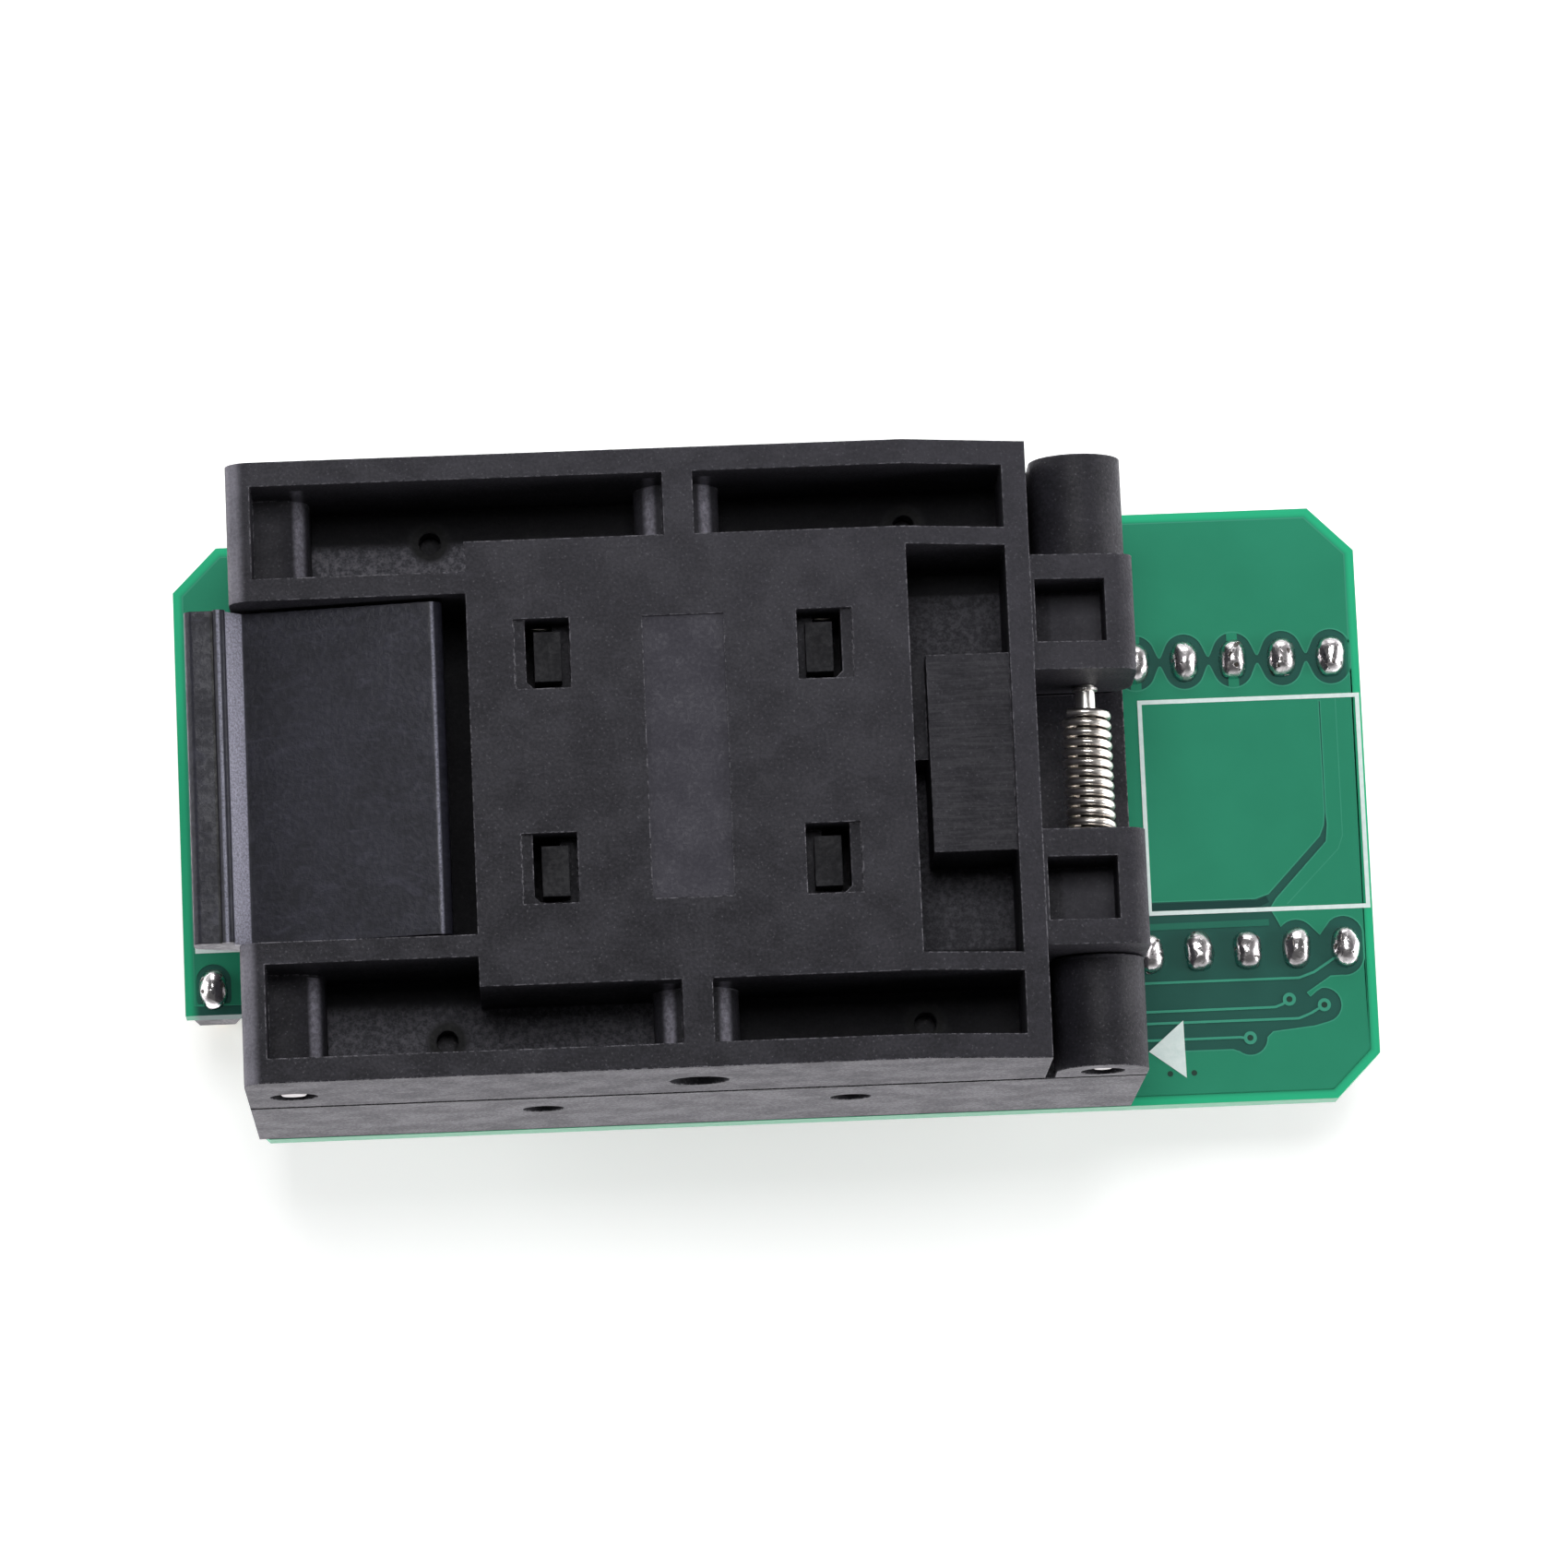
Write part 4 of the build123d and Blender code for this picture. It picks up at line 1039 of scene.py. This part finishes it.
def stamp_rows(name, shape, finish, node):
    """Stamp a shape at every pin, as one piece for each row."""
    for side_name, side in (("north", 1), ("south", -1)):
        grow(
            f"{name}_{side_name}",
            stamp_tree,
            [(joint_x(number), side * row_y, 0.0) for number in pin_numbers],
            {"Shape": shape, "Finish": finish},
            "base",
            (f"{node}_{side_name}",),
        )


# Header pins: square wire with a short cut point
pin_corner = pin_side / sqrt(2)
pin_profile = [(pin_corner * 0.45, 0.0), (pin_corner, pin_point), (pin_corner, board_top)]
pin = new_piece("pin_shape", turned("pin_shape", pin_profile, 4, smooth=False))
pin.data.transform(Matrix.Rotation(radians(45), 4, "Z"))
stamp_rows("pins", pin, plated_pins, "header_pins")

# Pin strips: a row of blocks with cut corners and eased edges, joined in one moulding
block_half = 1.27
block_flat = block_half - 0.35
block_ease = 0.12
block_outline = [
    (block_half, -block_flat),
    (block_half, block_flat),
    (block_flat, block_half),
    (-block_flat, block_half),
    (-block_half, block_flat),
    (-block_half, -block_flat),
    (-block_flat, -block_half),
    (block_flat, -block_half),
]
block_rings = [
    [(x, y * (block_half - inset) / block_half, height) for x, y in block_outline]
    for height, inset in (
        (strip_under, block_ease),
        (strip_under + block_ease, 0.0),
        (board_under - block_ease, 0.0),
        (board_under, block_ease),
    )
]
block = new_piece("strip_block", skinned("strip_block", block_rings))
stamp_rows("pin_strip", block, strip_plastic, "header_strip")

# Contact tips: small pointed plungers in three fields
tip_profile = [(0.15, 0.0), (0.15, 0.18), (0.03, 0.3)]
tip = new_piece("tip_shape", turned("tip_shape", tip_profile, 8, smooth=False))
tip_pitch = 0.5
tip_fields = ((-4.0, 5, 20), (4.0, 5, 20), (0.0, 3, 7))
tip_places = [
    (chip_x + middle + (column - (columns - 1) / 2) * tip_pitch, (row - (rows - 1) / 2) * tip_pitch, guide_top)
    for middle, columns, rows in tip_fields
    for column in range(columns)
    for row in range(rows)
]
grow(
    "contact_plungers",
    stamp_tree,
    tip_places,
    {"Shape": tip, "Finish": plated_pins},
    "base",
    ("contact_tips",),
)


# Vias: a raised ring round each, with a dark disc of painted shade for the hole
def circle(place, radius):
    """Outline of a circle in 24 steps."""
    return arc(*place, radius, 0, 345, 23)


via_places = [(26.15, -10.27), (27.94, -10.63), (24.03, -12.2)]
small_via_places = [(19.81, -13.91), (21.05, -13.91)]
ring_outlines = [circle(place, radius) for place in via_places for radius in (0.34, 0.16)]
hole_outlines = [circle(place, 0.17) for place in via_places] + [circle(place, 0.15) for place in small_via_places]
flat_layer("via_rings", ring_outlines, trace_rise + 0.005, trace_mask)
flat_layer("via_holes", hole_outlines, pour_rise + 0.004, hole_shade)


# Coil springs of round wire
def coil_piece(name, seats, bottom, length, turns, radius, wire, body, node):
    """Wind a coil on each seat, from a height up, as one piece."""
    values = {"Turns": float(turns), "Radius": radius * MM, "Length": (length - wire) * MM, "Wire": wire / 2 * MM}
    places = [(x, y, bottom + wire / 2) for x, y in seats]
    return grow(name, coil_tree, places, {**values, "Finish": spring_steel}, body, (node,))


def four_seats(out_x, out_y):
    return [(chip_x + x * out_x, y * out_y) for x in (-1, 1) for y in (-1, 1)]


nest_springs = coil_piece(
    "nest_coils",
    four_seats(out_x=9.7, out_y=8.3),
    bottom=nest_bottom - nest_spring_depth,
    length=nest_spring_depth,
    turns=4,
    radius=0.8,
    wire=0.28,
    body="base",
    node="nest_springs",
)
pressure_springs = coil_piece(
    "pressure_coils",
    four_seats(out_x=7.0, out_y=8.3),
    bottom=plate_top,
    length=roof_under - plate_top,
    turns=5,
    radius=1.1,
    wire=0.36,
    body="lid",
    node="pressure_springs",
)
latch_springs = coil_piece(
    "latch_coils",
    [(-19.2, -4.6), (-19.2, 4.6)],
    bottom=pocket_floor,
    length=latch_spring_cup,
    turns=7,
    radius=0.9,
    wire=0.36,
    body="lid",
    node="latch_springs",
)
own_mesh(nest_springs)
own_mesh(pressure_springs)
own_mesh(latch_springs)

for shape in (mound, pin, block, tip):
    bpy.data.objects.remove(shape)


# Hinge spring: close turns of bright wire round the pin, with a leg at each end
def wire_piece(name, points, radius, body, material, replaces):
    """Run round wire along a path of points."""
    curve = bpy.data.curves.new(name, "CURVE")
    curve.dimensions = "3D"
    curve.bevel_depth = radius * MM
    curve.bevel_resolution = 3
    curve.use_fill_caps = True
    line = curve.splines.new("POLY")
    line.points.add(len(points) - 1)
    for point, place in zip(line.points, points):
        point.co = (*[value * MM for value in place], 1.0)
    mesh = merged(plain_mesh(new_piece(name + "_path", curve)), name, 0.001)
    smooth_all(mesh)
    return keep_piece(new_piece(name, mesh), body, material, replaces)


spring_radius = 1.06
spring_wire = 0.41
spring_pitch = 0.505
spring_turns = 12.5
spring_south = -3.77
spring_north = spring_south + spring_turns * spring_pitch
turn_steps = 28
coil_points = [
    (
        hinge_x + spring_radius * sin(2 * pi * step / turn_steps),
        spring_north - spring_pitch * step / turn_steps,
        hinge_z + spring_radius * cos(2 * pi * step / turn_steps),
    )
    for step in range(int(spring_turns * turn_steps) + 1)
]
wire_piece(
    "hinge_coil",
    [(hinge_x - 1.0, spring_north, hinge_z + spring_radius), *coil_points, (12.4, spring_south, base_top - 0.7)],
    spring_wire / 2,
    "base",
    spring_steel,
    ("hinge_spring",),
)


# Ground pins with chamfered ends
def round_pin(name, radius, length, x, z, body, node, chamfer=0.12, collar=None, material=pin_steel):
    """Lay one pin along Y. A collar has its two ends and its radius."""
    half = length / 2
    profile = [(radius - chamfer, -half), (radius, -half + chamfer), (radius, half - chamfer), (radius - chamfer, half)]
    if collar:
        low, high, wide = collar
        profile[2:2] = [(radius, low), (wide, low + 0.06), (wide, high - 0.06), (radius, high)]
    mesh = turned(name, profile, 40)
    mesh.transform(Matrix.Translation((x * MM, 0, z * MM)) @ Matrix.Rotation(radians(-90), 4, "X"))
    mesh.set_sharp_from_angle(angle=radians(30))
    return keep_piece(new_piece(name, mesh), body, material, (node,))


round_pin("hinge_axle", 0.5, 30.7, hinge_x, hinge_z, "base", "hinge_pin", 0.08, (3.7, 3.95, 0.64), axle_steel)
round_pin("latch_axle", 0.7, 30.8, latch_pin_x, latch_pin_z, "lid", "latch_pin")
round_pin("pivot_axle", 0.75, 27.4, chip_x, pivot_z, "lid", "pivot_pin")
round_pin("block_axle_west", 0.7, 29.7, chip_x - cross_pin_offset, cross_pin_z, "base", "block_pin_west")
round_pin("block_axle_east", 0.7, 29.7, chip_x + cross_pin_offset, cross_pin_z, "base", "block_pin_east")


# Pale floor, camera and soft lights
def make_floor(half=1.5):
    """A pale floor, even to the camera, that keeps the part's shadow and adds a soft sheen to what mirrors it."""
    mesh = bpy.data.meshes.new("floor")
    mesh.from_pydata([(x, y, 0) for x, y in rectangle(-half, -half, half, half)], [], [(0, 1, 2, 3)])
    floor = new_piece("floor", mesh)
    material = bpy.data.materials.new("pale_floor")
    material.use_nodes = True
    tree = material.node_tree
    shader = tree.nodes["Principled BSDF"]
    shader.inputs["Base Color"].default_value = (0.86, 0.86, 0.86, 1.0)
    shader.inputs["Roughness"].default_value = 0.9
    rays = put(tree, "ShaderNodeLightPath")
    cool = tint(tree, rays.outputs["Is Glossy Ray"], rgb(1.0, 1.0, 1.0), rgb(1.0, 0.955, 1.03))
    join(tree, cool, shader, "Emission Color")
    mirrored = product(tree, rays.outputs["Is Glossy Ray"], 1.5)
    glow = calc(tree, "MULTIPLY_ADD", rays.outputs["Is Camera Ray"], 0.45, mirrored)
    join(tree, glow, shader, "Emission Strength")
    floor.data.materials.append(material)


def make_camera():
    """The camera fitted to the photo: its lens, its turn and its place over the board."""
    data = bpy.data.cameras.new("camera")
    data.sensor_width = 36.0
    data.lens = 191.7
    data.clip_start = 0.01
    data.clip_end = 10.0
    camera = new_piece("camera", data)
    turn = (
        Matrix.Rotation(radians(-9.62), 3, "X")
        @ Matrix.Rotation(radians(1.38), 3, "Y")
        @ Matrix.Rotation(radians(2.42), 3, "Z")
    )
    place = Vector((-12.734, -69.721, 425.846 + board_top)) * MM
    camera.matrix_world = Matrix.Translation(place) @ turn.transposed().to_4x4()
    bpy.context.scene.camera = camera


LAMP_AIM = Vector((0, 0, 0.01))


def make_lamp(name, place, size, power):
    """A rectangular soft light that looks at the part. Places are in metres."""
    data = bpy.data.lights.new(name, "AREA")
    data.shape = "RECTANGLE"
    data.size, data.size_y = size
    data.energy = power
    lamp = new_piece(name, data)
    towards = LAMP_AIM - Vector(place)
    lamp.matrix_world = Matrix.Translation(place) @ towards.to_track_quat("-Z", "Y").to_matrix().to_4x4()


make_floor()
make_camera()
make_lamp("key_softbox", (0.0, 0.12, 0.68), (0.25, 0.2), 2.2)
make_lamp("north_softbox", (0.05, 0.62, 0.34), (0.5, 0.2), 1.4)
make_lamp("west_softbox", (-0.62, 0.1, 0.26), (0.4, 0.24), 1.6)
make_lamp("east_softbox", (0.62, -0.05, 0.2), (0.4, 0.2), 2.6)


def make_world():
    """Even studio surroundings: pale round the horizon and dimmer overhead."""
    world = bpy.data.worlds.new("studio")
    world.use_nodes = True
    tree = world.node_tree
    height = parts_of(tree, put(tree, "ShaderNodeTexCoord").outputs["Generated"])[2]
    background = tree.nodes["Background"]
    background.inputs["Color"].default_value = (1.0, 1.0, 1.0, 1.0)
    tree.links.new(spread(tree, height, 0.1, 0.8, 0.9, 0.1), background.inputs["Strength"])
    bpy.context.scene.world = world


make_world()
bpy.context.scene.view_settings.view_transform = "Standard"
